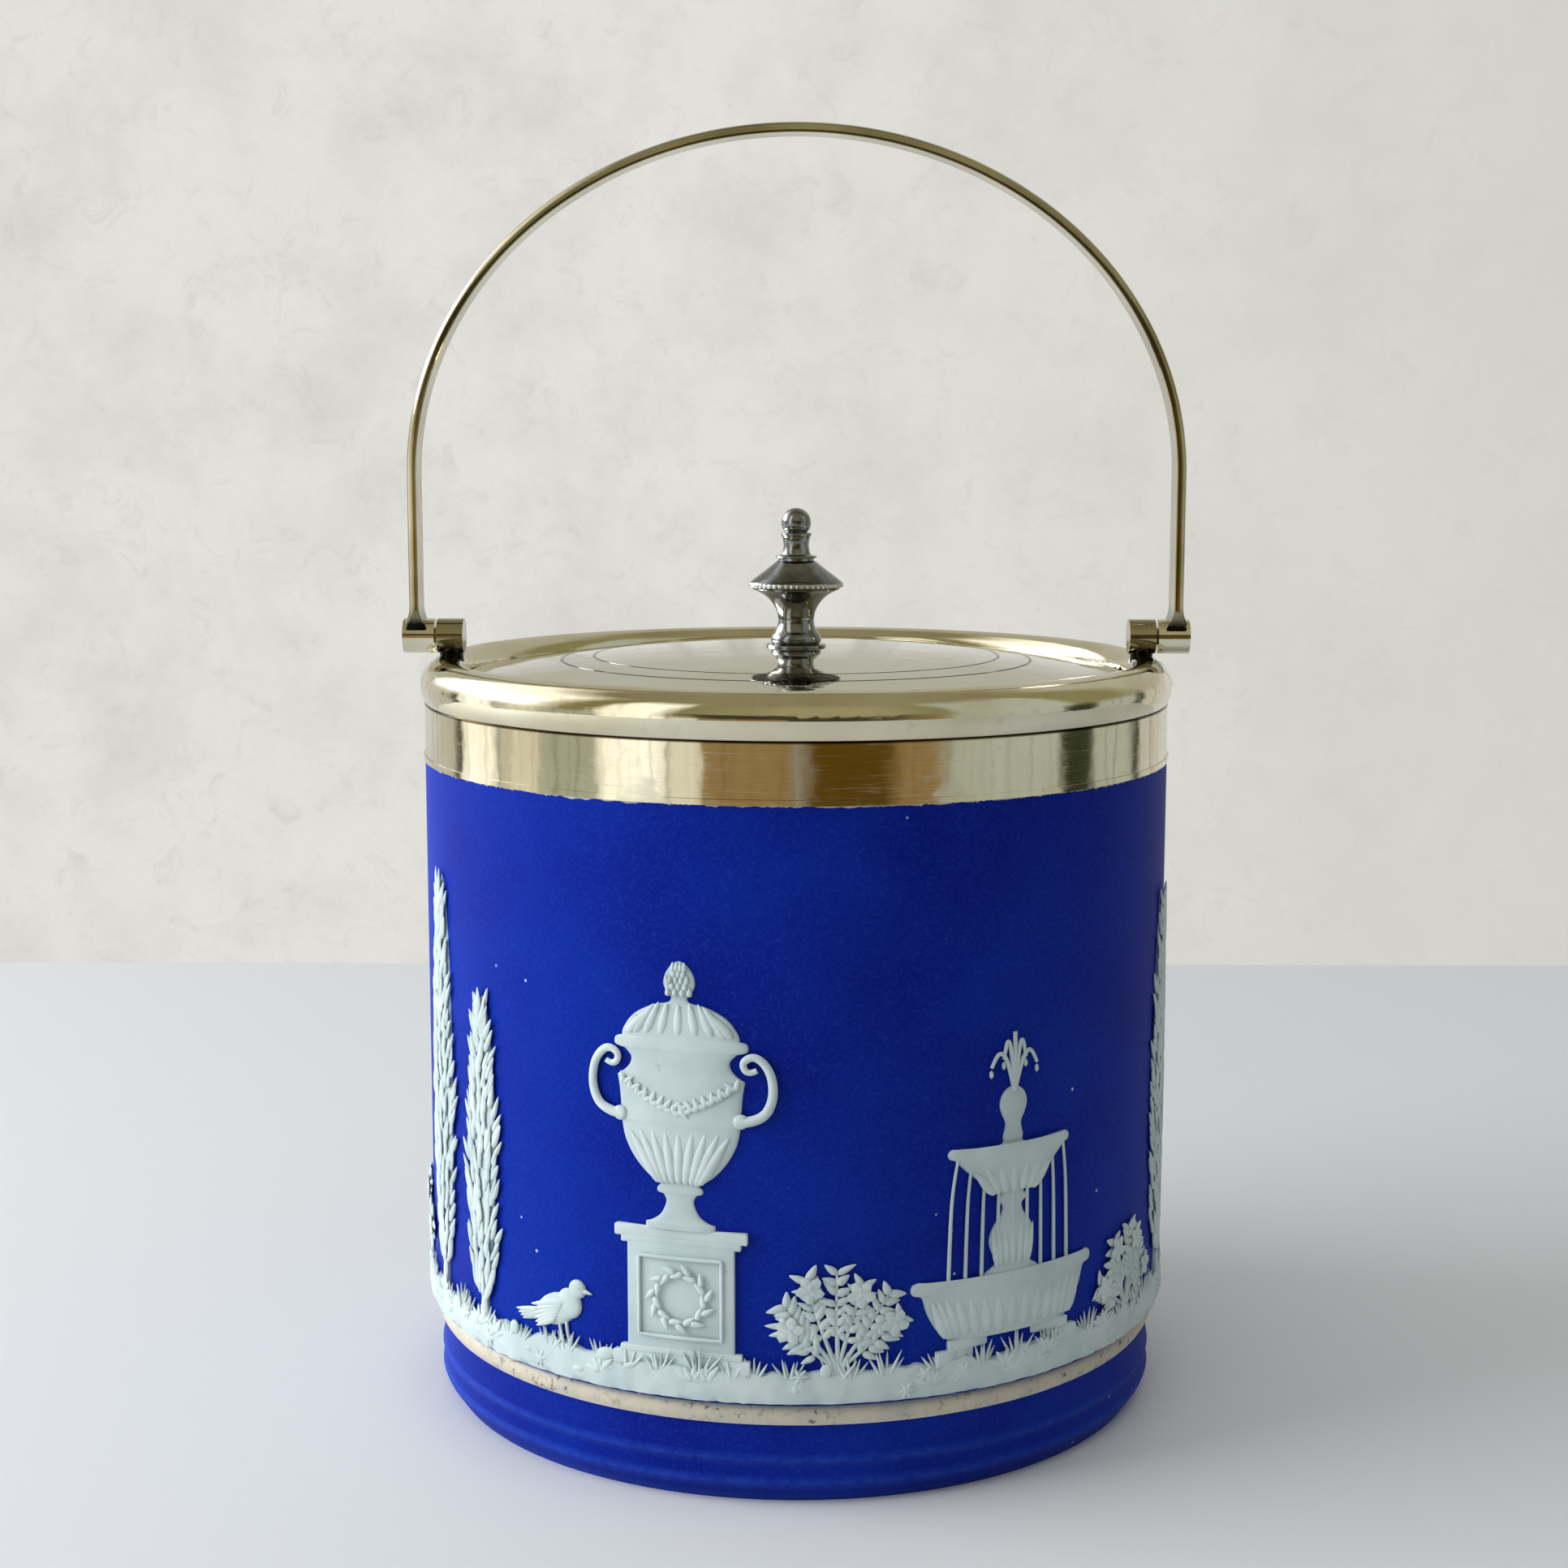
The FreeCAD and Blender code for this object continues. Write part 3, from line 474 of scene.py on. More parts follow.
def coveredUrn():
    # Covered garden urn with scroll handles and a laurel swag, on a panelled pedestal
    urn = {"baseW": 22.0, "dieW": 17.2, "dieH": 17.0, "capW": 21.2, "panel": 6.6, "panelLow": 5.2,
           "panelHigh": 17.8, "bead": 0.3, "wreath": 4.1, "leaves": 22, "pedestal": 22.3, "flat": 0.25,
           "gadroons": 4, "swag": 8.8, "swagTop": 22.4, "swagDrop": 3.6, "swagLeaves": 16, "scaleRows": 5}
    form = bmesh.new()
    z = wall["ground"]
    addBlock(form, urn["baseW"], 2.2, 1.3, 0, z)
    addBlock(form, urn["baseW"] - 2.4, 1.2, 1.05, 0, z + 2.0)
    addBlock(form, urn["dieW"], urn["dieH"], 0.75, 0, z + 3.0)
    for side in (-urn["panel"], urn["panel"]):
        addLimb(form, [(side, 0.8, z + urn["panelLow"]), (side, 0.8, z + urn["panelHigh"])], urn["bead"])
    for level in (z + urn["panelLow"], z + urn["panelHigh"]):
        addLimb(form, [(-urn["panel"], 0.8, level), (urn["panel"], 0.8, level)], urn["bead"])
    for index in range(urn["leaves"]):  # wreath in the panel
        lean = 360 * index / urn["leaves"]
        u = urn["wreath"] * cos(radians(lean))
        rise = urn["wreath"] * sin(radians(lean))
        addLeaf(form, u, 0.85, z + 11.4 + rise, 2.3, 1.1, lean + 90 - 28 * (-1) ** index, 0.4)
    addBlock(form, urn["capW"] - 2.0, 1.2, 1.0, 0, z + 19.6)
    addBlock(form, urn["capW"], 1.8, 1.3, 0, z + 20.6)
    vase = z + urn["pedestal"]
    profile = [(0, 0), (5.6, 0), (5.6, 0), (5.6, 0.9), (5.6, 0.9), (4.4, 1.3), (3.0, 2.4), (2.2, 4.4),
               (2.7, 5.5), (2.7, 5.5), (3.6, 5.8), (3.6, 6.5), (3.0, 7.0), (3.0, 7.0), (5.2, 8.4),
               (7.4, 10.8), (8.9, 13.6), (9.5, 16.4), (9.5, 16.4), (10.2, 16.7), (10.3, 17.2), (10.2, 17.7),
               (9.6, 18.0), (9.6, 18.0), (9.8, 21.0), (10.2, 23.6), (10.2, 23.6), (9.0, 24.4), (8.1, 25.4),
               (7.9, 26.6), (9.0, 27.8), (9.0, 27.8), (10.5, 28.2), (10.7, 28.9), (10.4, 29.5), (9.4, 29.8),
               (9.4, 29.8), (9.1, 31.0), (7.4, 33.2), (4.4, 34.8), (1.8, 35.4), (1.3, 36.2), (1.9, 36.8),
               (2.5, 38.2), (2.2, 39.8), (1.1, 41.3), (0, 41.8)]
    addTurned(form, profile, 0, vase, urn["flat"], 64)
    for index in range(-urn["gadroons"], urn["gadroons"] + 1):  # gadroons round the bowl and the cover
        lean = index * 19
        side = sin(radians(lean))
        addLeaf(form, side * 3.0, 0.75, vase + 7.2, 9.4, 2.1, 90 - lean * 0.42, 0.55)
        addLeaf(form, side * 8.6, 0.8, vase + 30.4, 5.0 + abs(index) * 0.3, 1.7, 90 + lean * 0.62, 0.4)
    scroll = ((9.0, 0.5, 17.4), (12.6, 0.6, 17.6), (14.6, 0.6, 21.0), (14.2, 0.6, 25.4), (11.8, 0.6, 28.0),
              (9.6, 0.6, 26.8), (10.6, 0.6, 24.8), (12.0, 0.6, 25.6))
    for side in (-1, 1):
        addLimb(form, [(side * u, proud, vase + rise) for u, proud, rise in scroll], 0.85, 0.45)
        addBlob(form, (side * 9.6, 0.7, vase + 17.6), (1.2, 0.6, 1.2))
    for index in range(urn["swagLeaves"] + 1):  # laurel swag between the handles
        share = index / urn["swagLeaves"] * 2 - 1
        level = vase + urn["swagTop"] - urn["swagDrop"] * (1 - share ** 2)
        for side in (-1, 1):
            lean = 180 * (share > 0) - 70 * share + side * 34
            addLeaf(form, share * urn["swag"], 1.2, level, 2.0, 1.0, lean, 0.4)
    for row in range(urn["scaleRows"]):  # scales of the cone on the cover
        for index in range(4 - row % 2):
            u = (index - (3 - row % 2) / 2) * 1.15 * (1 - row * 0.12)
            addLeaf(form, u, 0.42, vase + 36.4 + row * 0.95, 1.5, 1.0, 90, 0.4)
    return form


def gardenFountain():
    # Two-tier fountain, water falling from the bowl into the basin
    fountain = {"steps": ((27.0, 2.4, 1.3, 0), (23.0, 1.8, 1.0, 2.2)), "basinFoot": 3.8, "stemFoot": 13.0,
                "jetFoot": 29.4, "flat": 0.27, "basinFlat": 0.16, "basinLobes": 7, "bowlLobes": 3, "falls": 4,
                "jets": ((0.0, 9.5), (2.6, 8.0), (-2.6, 8.0), (5.4, 6.2), (-5.4, 6.2)),
                "fall": ((1.0, 0.5, 20.0), (1.08, 0.35, 15.6), (1.12, 0.3, 9.0), (1.14, 0.3, 0.2))}
    form = bmesh.new()
    z = wall["ground"]
    for width, height, depth, rise in fountain["steps"]:
        addBlock(form, width, height, depth, 0, z + rise, 0.3)
    basin = [(0, 0), (10.0, 0), (12.0, 0.8), (13.6, 2.4), (15.0, 5.0), (15.8, 7.4), (17.2, 7.9), (17.6, 8.7),
             (17.2, 9.6), (16.0, 9.9), (15.6, 9.6), (0, 9.6)]
    addTurned(form, basin, 0, z + fountain["basinFoot"], fountain["basinFlat"], 64)
    for index in range(-fountain["basinLobes"], fountain["basinLobes"] + 1):
        lean = index * 11.5
        addLeaf(form, sin(radians(lean)) * 11.6, 0.6, z + 4.4, 6.8, 2.5, 90 - lean * 0.3, 0.5)
    stem = z + fountain["stemFoot"]
    profile = [(0, 0), (5.0, 0), (5.0, 0.8), (4.0, 1.4), (3.0, 2.4), (3.9, 4.2), (4.3, 6.0), (3.6, 8.0),
               (2.2, 9.8), (1.9, 11.2), (2.7, 12.0), (2.7, 12.6), (2.2, 13.2), (3.4, 14.2), (6.6, 16.0),
               (9.4, 18.4), (10.4, 19.4), (11.4, 19.8), (11.6, 20.6), (11.0, 21.2), (9.8, 21.2),
               (2.6, 20.9), (1.9, 22.4), (1.5, 24.2), (2.1, 25.6), (2.6, 27.2), (2.2, 28.8), (1.2, 29.8),
               (0, 30.2)]
    addTurned(form, profile, 0, stem, fountain["flat"], 56)
    for index in range(-fountain["bowlLobes"], fountain["bowlLobes"] + 1):
        lean = index * 24
        side = sin(radians(lean))
        addLeaf(form, side * 3.0, 0.5, stem + 1.6, 6.4, 1.5, 90 - lean * 0.12, 0.5)
        addLeaf(form, side * 3.6, 0.7, stem + 13.4, 5.6, 2.0, 90 - lean * 0.62, 0.5)
    top = stem + fountain["jetFoot"]
    for reach, rise in fountain["jets"]:
        points = [(reach * t / 2.0, 0.3, top + rise * (1 - (1 - t) ** 2))
                  for t in (0, 0.35, 0.7, 1.0, 1.3, 1.6)]
        addLimb(form, points, 0.42, 0.3)
        addBlob(form, (points[-1][0], 0.3, points[-1][2] - 1.0), (0.4, 0.35, 0.7), 0, 1)
    for index in range(-fountain["falls"], fountain["falls"] + 1):  # water spilling from the bowl
        points = [(index * 2.5 * out, proud, stem + level) for out, proud, level in fountain["fall"]]
        addLimb(form, points, 0.24, 0.34)
    return form


def cypressTree(height, width, seed):
    # Slender cypress: trunk and upright sprays of foliage
    tree = {"trunk": 1.1, "twig": 0.4, "rowEvery": 1.7, "sprays": (-0.95, -0.55, -0.1, 0.35, 0.8),
            "longest": 4.8, "shortest": 3.2, "fan": 30, "restless": 12}
    rng = random.Random(seed)
    form = bmesh.new()
    z = wall["ground"]
    addLimb(form, [(0, 0.3, z), (0.3, 0.4, z + height * 0.07), (0, 0.2, z + height * 0.16)], tree["trunk"],
            tree["twig"])
    addBlob(form, (0, 0.0, z + height * 0.53), (width * 0.33, 0.55, height * 0.43), 0, 3)
    rows = int(height / tree["rowEvery"])
    for row in range(rows):
        share = row / rows
        half = width / 2 * sin(pi * min(1.0, share * 0.94 + 0.05) ** 0.72) ** 0.8
        for place in tree["sprays"]:
            u = half * (place + rng.uniform(-0.16, 0.16))
            spread = u / max(half, 0.1)
            lift = 0.35 + 0.6 * (1 - spread ** 2)
            level = z + height * (0.07 + 0.86 * share) + rng.uniform(-0.7, 0.7)
            addLeaf(form, u * 0.8, lift, level, rng.uniform(tree["shortest"], tree["longest"]),
                    rng.uniform(1.0, 1.5),
                    90 - spread * tree["fan"] + rng.uniform(-tree["restless"], tree["restless"]), 0.42)
    return form


def roseBush(height, seed):
    # Rose bush: fanned stems, paired leaves and open flowers
    bush = {"side": 3, "fan": 19, "stem": 0.42, "tip": 0.22, "firstLeaf": 4, "lastLeaf": 10, "flower": 2.1}
    rng = random.Random(seed)
    form = bmesh.new()
    z = wall["ground"]
    for index in range(-bush["side"], bush["side"] + 1):
        lean = radians(90 + index * bush["fan"] + rng.uniform(-5, 5))
        reach = height * rng.uniform(0.82, 1.0) * (1 - 0.035 * abs(index))
        bow = rng.uniform(-1.2, 1.2)
        tip = (reach * cos(lean) * 0.8, reach * sin(lean))
        addLimb(form, [(index * 0.3, 0.2, z), (tip[0] * 0.45 + bow, 0.5, z + tip[1] * 0.5),
                       (tip[0], 0.35, z + tip[1])], bush["stem"], bush["tip"])
        for step in range(bush["firstLeaf"], bush["lastLeaf"] + 1):
            share = step / bush["lastLeaf"]
            u = tip[0] * share + bow * sin(pi * share) * 0.6
            for side in (-1, 1):
                addLeaf(form, u, 0.3 + rng.uniform(0, 0.3), z + tip[1] * share, rng.uniform(2.4, 3.3),
                        rng.uniform(1.2, 1.7), degrees(lean) + side * rng.uniform(35, 70), 0.42)
        if (index + bush["side"]) % 2 == 0:
            addRose(form, tip[0] * 0.92, 1.0, z + tip[1] * 0.93, bush["flower"], rng)
    return form


def standingDove(facing):
    # Dove with folded wing and layered tail; facing is 1 to the right and -1 to the left
    dove = {"foot": wall["turfTop"] - 0.6, "tilt": 20, "tail": 4, "tailLong": 7.2, "wing": 6, "wingLong": 7.4}
    form = bmesh.new()
    z = dove["foot"]
    for leg in (0.6, 2.0):
        addLimb(form, [(facing * leg, 0.3, z + 4.4), (facing * (leg + 0.3), 0.3, z + 0.4),
                       (facing * (leg + 1.5), 0.3, z + 0.2)], 0.3, 0.22)
    tilt = dove["tilt"] * facing
    addBlob(form, (0, 0.1, z + 6.0), (4.4, 0.85, 2.6), tilt, 3)
    addBlob(form, (facing * 2.6, 0.2, z + 7.4), (2.4, 0.8, 2.5), tilt, 3)
    addBlob(form, (facing * 4.2, 0.2, z + 10.0), (1.65, 0.75, 1.55), 0, 3)
    addLeaf(form, facing * 5.3, 0.4, z + 10.0, 1.9, 0.8, 90 - 100 * facing, 0.35)
    addBlob(form, (facing * 4.7, 0.85, z + 10.4), (0.26, 0.25, 0.26), 0, 1)
    back = 90 + 90 * facing
    for index in range(dove["tail"]):
        addLeaf(form, -facing * 2.2, 0.25, z + 5.0, dove["tailLong"] - index * 0.4, 1.5,
                back + facing * (8 + index * 5), 0.4)
    for index in range(dove["wing"]):
        addLeaf(form, facing * (2.0 - index * 0.35), 0.85, z + 7.6 - index * 0.55,
                dove["wingLong"] - index * 0.5, 1.5, back + facing * (14 + index * 3), 0.4)
    return form


def roundTemple():
    # Round garden temple: steps, four columns, moulded entablature and ribbed dome
    temple = {"steps": ((44.0, 1.9, 1.3), (41.5, 1.6, 1.1), (39.0, 1.6, 0.9)), "columnH": 32.0, "step": 10.3,
              "courses": ((37.0, 1.6, 0.9), (36.4, 2.2, 0.7), (38.4, 1.0, 1.1), (39.2, 1.3, 1.3)),
              "flutes": (-1.2, -0.4, 0.4, 1.2), "dentils": 19, "dentilStep": 1.95, "dentil": 0.9, "ribs": 4,
              "flat": 0.6, "domeFlat": 0.16}
    form = bmesh.new()
    z = wall["ground"]
    for width, height, depth in temple["steps"]:
        addBlock(form, width, height, depth, 0, z, 0.25)
        z += height - 0.1
    profile = [(0, 0), (2.7, 0), (2.7, 0.7), (2.3, 1.1), (2.5, 1.6), (2.0, 2.0), (1.9, 15), (1.7, 28.6),
               (2.0, 29.0), (1.8, 29.4), (2.6, 30.6), (2.8, 30.8), (2.8, 32.0), (0, 32.0)]
    for place in (-1.5, -0.5, 0.5, 1.5):
        u = place * temple["step"]
        addTurned(form, profile, u, z, temple["flat"], 24)
        for flute in temple["flutes"]:
            back = 0.12 * abs(flute)
            addLimb(form, [(u + flute, 0.75 - back, z + 2.4), (u + flute * 0.9, 0.7 - back, z + 28.4)], 0.2)
    z += temple["columnH"]
    for width, height, depth in temple["courses"]:
        addBlock(form, width, height, depth, 0, z, 0.2)
        z += height - 0.05
    for index in range(temple["dentils"]):
        u = (index - (temple["dentils"] - 1) / 2) * temple["dentilStep"]
        addBlock(form, temple["dentil"], temple["dentil"], 1.0, u, z - 3.1, 0.15)
    dome = [(0, 0), (17.4, 0), (17.4, 1.0), (16.6, 3.6), (14.4, 6.8), (11.2, 9.4), (7.4, 11.2), (3.4, 12.1),
            (1.4, 12.4), (1.2, 13.2), (2.0, 14.0), (2.1, 15.0), (1.2, 16.1), (0, 16.4)]
    addTurned(form, dome, 0, z, temple["domeFlat"], 56)
    for index in range(-temple["ribs"], temple["ribs"] + 1):
        foot = sin(radians(index * 20)) * 16.6
        low = 0.75 - abs(index) * 0.08
        addLimb(form, [(foot, low, z + 0.6), (foot * 0.9, low, z + 5.6), (foot * 0.6, 0.75, z + 9.6),
                       (foot * 0.2, 0.7, z + 12.2)], 0.32, 0.2)
    return form


def gardenLyre():
    # Lyre on a block, with two crossed sprays of laurel
    lyre = {"blocks": ((18.0, 4.0, 1.25, 0), (15.6, 1.6, 1.0, 3.8)), "laurel": 10, "crossbar": 25.2,
            "barHalf": 7.4, "strings": (-2.4, -0.8, 0.8, 2.4)}
    form = bmesh.new()
    z = wall["ground"]
    for width, height, depth, rise in lyre["blocks"]:
        addBlock(form, width, height, depth, 0, z + rise, 0.3)
    addBlob(form, (0, 0.2, z + 9.0), (6.2, 0.8, 4.2), 0, 3)
    arm = ((4.4, 0.5, 9.5), (7.6, 0.6, 14.0), (5.4, 0.6, 20.0), (4.8, 0.6, 25.0), (7.0, 0.6, 29.4),
           (9.2, 0.6, 28.0), (8.0, 0.6, 26.4))
    for side in (-1, 1):
        addLimb(form, [(side * u, proud, z + rise) for u, proud, rise in arm], 1.0, 0.5)
        for step in range(lyre["laurel"] + 1):  # spray of laurel at the foot
            share = step / lyre["laurel"]
            lean = 90 - side * (62 - 30 * share)
            for tilt in (-30, 30):
                addLeaf(form, side * (2.0 + 10.0 * share), 0.8, z + 5.6 + 5.0 * share ** 2, 2.8, 1.3,
                        lean + tilt, 0.4)
    bar = z + lyre["crossbar"]
    addLimb(form, [(-lyre["barHalf"], 0.7, bar), (lyre["barHalf"], 0.7, bar)], 0.7)
    for place in lyre["strings"]:
        addLimb(form, [(place, 0.5, z + 10.0), (place, 0.5, bar)], 0.2)
    return form


def turfBand():
    # Strip of turf all round: rolling ground, grass tufts, stones and daisies
    turf = {"along": 560, "across": 12, "proud": 1.05, "hills": 9, "tufts": 78, "clumps": 40, "stones": 38,
            "daisies": 30, "petals": 6, "seed": 7}
    rng = random.Random(turf["seed"])
    length = 2 * pi * wall["radius"]
    form = bmesh.new()
    bmesh.ops.create_grid(form, x_segments=turf["along"], y_segments=turf["across"], size=0.5)
    for vert in form.verts:  # the flat grid becomes rolling ground, bulging out and tucked in at both edges
        around = vert.co.x + 0.5
        section = (vert.co.y + 0.5) * 2 * pi
        turn = 2 * pi * around
        spot = Vector((cos(turn), sin(turn), 0)) * turf["hills"]
        roll = noise.noise(spot) * 1.5 + noise.noise(spot * 3.1) * 0.7
        lump = (noise.noise(spot * 3.2 + Vector((0, 0, section * 1.6))) * 0.34
                + noise.noise(spot * 9 + Vector((0, 5, section * 3.5))) * 0.16)
        foot = wall["turfFoot"] + 0.1 + 0.12 * noise.noise(spot * 5)
        middle = (foot + wall["turfTop"] + roll) / 2
        half = (wall["turfTop"] + roll - foot) / 2
        out = sin(section)
        depth = turf["proud"] * max(out, 0) ** 0.55 + lump if out > 0.02 else -wall["buried"]
        vert.co = (around * length, -depth, middle - half * cos(section))
    for index in range(turf["tufts"]):
        u = length * (index + rng.uniform(-0.4, 0.4)) / turf["tufts"]
        tall = rng.uniform(1.6, 3.4)
        for blade in (-2.5, -1.5, -0.5, 0.5, 1.5, 2.5):
            addLeaf(form, u + blade * 0.3, rng.uniform(0.3, 0.8), wall["turfTop"] - 1.4,
                    tall * rng.uniform(0.8, 1.2) + 1.0, 0.62, 90 - blade * 13 + rng.uniform(-7, 7), 0.34)
    for index in range(turf["clumps"]):  # broad leaves in fans
        u = rng.uniform(0, length)
        z = rng.uniform(18.4, 21.6)
        for leaf in (-2, -1, 0, 1, 2):
            addLeaf(form, u, 0.9 + 0.1 * (leaf % 2), z, rng.uniform(2.4, 3.6), rng.uniform(1.1, 1.5),
                    90 - leaf * 34 + rng.uniform(-8, 8), 0.36)
    for index in range(turf["stones"]):
        addBlob(form, (rng.uniform(0, length), 0.7, rng.uniform(18.2, 22.8)),
                (rng.uniform(0.8, 2.3), 0.55, rng.uniform(0.6, 1.3)), rng.uniform(-20, 20))
    for index in range(turf["daisies"]):
        u = rng.uniform(0, length)
        z = rng.uniform(18.6, 22.0)
        for petal in range(turf["petals"]):
            addLeaf(form, u, 1.05, z, 1.5, 0.8, 360 / turf["petals"] * petal + rng.uniform(-8, 8), 0.3)
        addBlob(form, (u, 1.3, z), (0.42, 0.3, 0.42), 0, 1)
    wrapOnWall(form, 180)
    bmesh.ops.remove_doubles(form, verts=form.verts, dist=0.004 * mm)
    bmesh.ops.recalc_face_normals(form, faces=form.faces)
    piece = finishPiece("turf", form, white, "jar", ("turf_band",))
    print("turf", len(piece.data.polygons), "faces")


# Each motif stands at its own place in degrees, from the middle of the front towards the right
cypresses = ((-66, 74, 12), (-52, 56, 10), (74, 70, 12), (146, 72, 12), (-146, 58, 10), (-106, 70, 12))
roses = ((6, 17), (58, 14), (-84, 16), (95, 16), (-124, 18))
turfBand()
finishSprigs("urnSprig", [(coveredUrn(), -16)], ("covered_urn_relief",))
finishSprigs("fountainSprig", [(gardenFountain(), 32)], ("fountain_relief",))
finishSprigs("templeSprig", [(roundTemple(), 180)], ("temple_relief",))
finishSprigs("lyreSprig", [(gardenLyre(), 128)], ("lyre_relief",))
finishSprigs("cypressSprigs", [(cypressTree(height, width, seed), place) for seed, (place, height, width)
                               in enumerate(cypresses)], ("cypress_relief",))
finishSprigs("roseSprigs", [(roseBush(height, seed), place) for seed, (place, height) in enumerate(roses)],
             ("rose_bush_relief",))
finishSprigs("doveSprigs", [(standingDove(1), -36), (standingDove(-1), 112)], ("dove_relief",))


# Finial turned in one with its waist, and the moulded strip of the handle

def turnedPiece(name, profile, material, node, steps=144, teeth=None):
    # teeth: (radius from which the edge is milled, depth, steps to a tooth); worn says how bright it rubs
    worn = {"axis": 0.42, "fall": 0.2, "milling": 0.9}
    form = spinProfile(profile, steps)
    shade = form.verts.layers.float.new("proud")
    widest = max(r for r, _ in profile)
    for vert in form.verts:
        reach = hypot(vert.co.x, vert.co.y)
        vert[shade] = worn["axis"] - worn["fall"] * (reach / widest) ** 2
        if teeth and reach > teeth[0]:
            count = round((atan2(vert.co.y, vert.co.x) / (2 * pi)) * steps) % teeth[2]
            cut = 1 - teeth[1] / reach * (count == 0)
            vert.co.x *= cut
            vert.co.y *= cut
            vert[shade] = worn["milling"]
        vert.co *= mm
    return finishPiece(name, form, material, "lid", (node,), 35)


def makeFinial():
    # Both profiles are (radius, height) from the foot of their own piece
    finial = {"seat": 10.15, "ball": 2.54, "steps": 9, "milled": 0.2, "toothDeep": 0.16, "toothEvery": 3}
    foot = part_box("finial_stem")[0].z / mm
    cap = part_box("finial_cap")
    top = cap[1].z / mm
    edge = cap[1].x / mm
    stem = [(0, 0), (5.1, 0), (5.1, 0), (5.15, 0.2), (5.0, 0.42), (5.0, 0.42), (4.0, 0.5), (4.0, 0.5),
            (4.25, 0.85), (4.35, 1.35), (4.1, 2.0), (3.5, 2.9), (3.15, 4.0), (3.1, 4.9), (3.3, 6.0),
            (3.9, 7.2), (4.9, 8.4), (6.2, 9.3), (7.5, 9.85), (7.5, 9.85), (7.4, 10.3), (7.4, 10.3),
            (0, 10.3)]
    knob = [(0, 0), (7.7, 0), (7.7, 0), (edge - 0.05, 0.2), (edge, 0.5), (edge - 0.12, 0.78),
            (edge - 0.12, 0.78), (7.2, 1.5), (5.2, 3.0), (3.3, 4.5), (3.3, 4.5), (3.05, 4.6), (3.05, 4.6),
            (3.05, 4.95), (3.05, 4.95), (3.5, 5.05), (3.55, 5.2), (3.4, 5.4), (3.4, 5.4), (2.55, 5.6),
            (2.25, 6.6), (2.2, 7.4), (2.35, 8.4), (2.6, 8.95), (2.6, 8.95), (2.62, 9.15), (2.5, 9.3),
            (2.5, 9.3), (1.9, 9.4)]
    stem = [(reach, foot + rise) for reach, rise in stem]
    knob = [(reach, foot + finial["seat"] + rise) for reach, rise in knob]
    ball = top - finial["ball"]
    start = asin((knob[-1][1] - ball) / finial["ball"])
    for step in range(1, finial["steps"]):
        lean = start + (pi / 2 - start) * step / finial["steps"]
        knob.append((finial["ball"] * cos(lean), ball + finial["ball"] * sin(lean)))
    knob.append((0, top))
    turnedPiece("finialStem", stem, dark, "finial_stem")
    turnedPiece("finialKnob", knob, dark, "finial_cap",
                teeth=(edge - finial["milled"], finial["toothDeep"], finial["toothEvery"]))


def makeBail():
    # Strip with a rounded ridge between two beads, flared where it runs into its knuckles
    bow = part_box("bail_bow")
    bail = {"spring": 157.0, "thick": 1.9, "foot": 130.4, "flareTop": 134.6, "flareDeep": 3.4,
            "flareOut": 1.2, "flareIn": 1.2, "narrow": 0.22, "steps": 120}
    outer = bow[1].x / mm
    rise = bow[1].z / mm - bail["spring"]
    half = bow[1].y / mm
    # Half of the strip's section, from its back edge: (in from the edge, out from the flat face)
    edge = ((0.15, 0), (0, 0.15), (0, 0.92), (0.1, 1.1), (0.26, 1.16), (0.42, 1.1), (0.52, 0.98),
            (0.66, 1.08), (1.0, 1.46), (1.45, 1.72), (2.1, 1.86))
    section = [(inward - half, h) for inward, h in edge] + [(0, bail["thick"])]
    section += [(-y, h) for y, h in reversed(section[:-1])]
    # Close steps through the flare, wider ones up the straight leg
    levels = [bail["foot"] + 0.6 * step for step in range(8)] + [137 + 4 * step for step in range(5)]
    stops = [(outer, z, 1.0, 0.0) for z in levels]
    for step in range(bail["steps"] + 1):
        lean = pi * step / bail["steps"]
        out = Vector((cos(lean) / outer, sin(lean) / rise)).normalized()
        stops.append((outer * cos(lean), bail["spring"] + rise * sin(lean), out.x, out.y))
    stops += [(-x, z, -outX, outZ) for x, z, outX, outZ in reversed(stops[:len(levels)])]

    def place(stop, point):
        x, z, outX, outZ = stop
        y, h = point
        flare = min(max((bail["flareTop"] - z) / bail["flareDeep"], 0.0), 1.0) ** 2
        h += flare * (bail["flareOut"] if h > 0.9 else -bail["flareIn"])
        y *= 1 - bail["narrow"] * flare
        off = h - bail["thick"]
        return Vector((x + outX * off, y, z + outZ * off)) * mm

    form = bmesh.new()
    ring = [form.verts.new(place(stops[0], point)) for point in section]
    loop = form.faces.new(ring)
    for stop in stops[1:]:
        grown = bmesh.ops.extrude_discrete_faces(form, faces=[loop])["faces"][0]
        for corner, point in zip(grown.verts, section):
            corner.co = place(stop, point)
        loop = grown
    bmesh.ops.recalc_face_normals(form, faces=form.faces)
    finishPiece("bailStrip", form, bailPlate, "bail", ("bail_bow",), 40)


makeFinial()
makeBail()
print("finial and handle ready")


# Stage, lights and camera

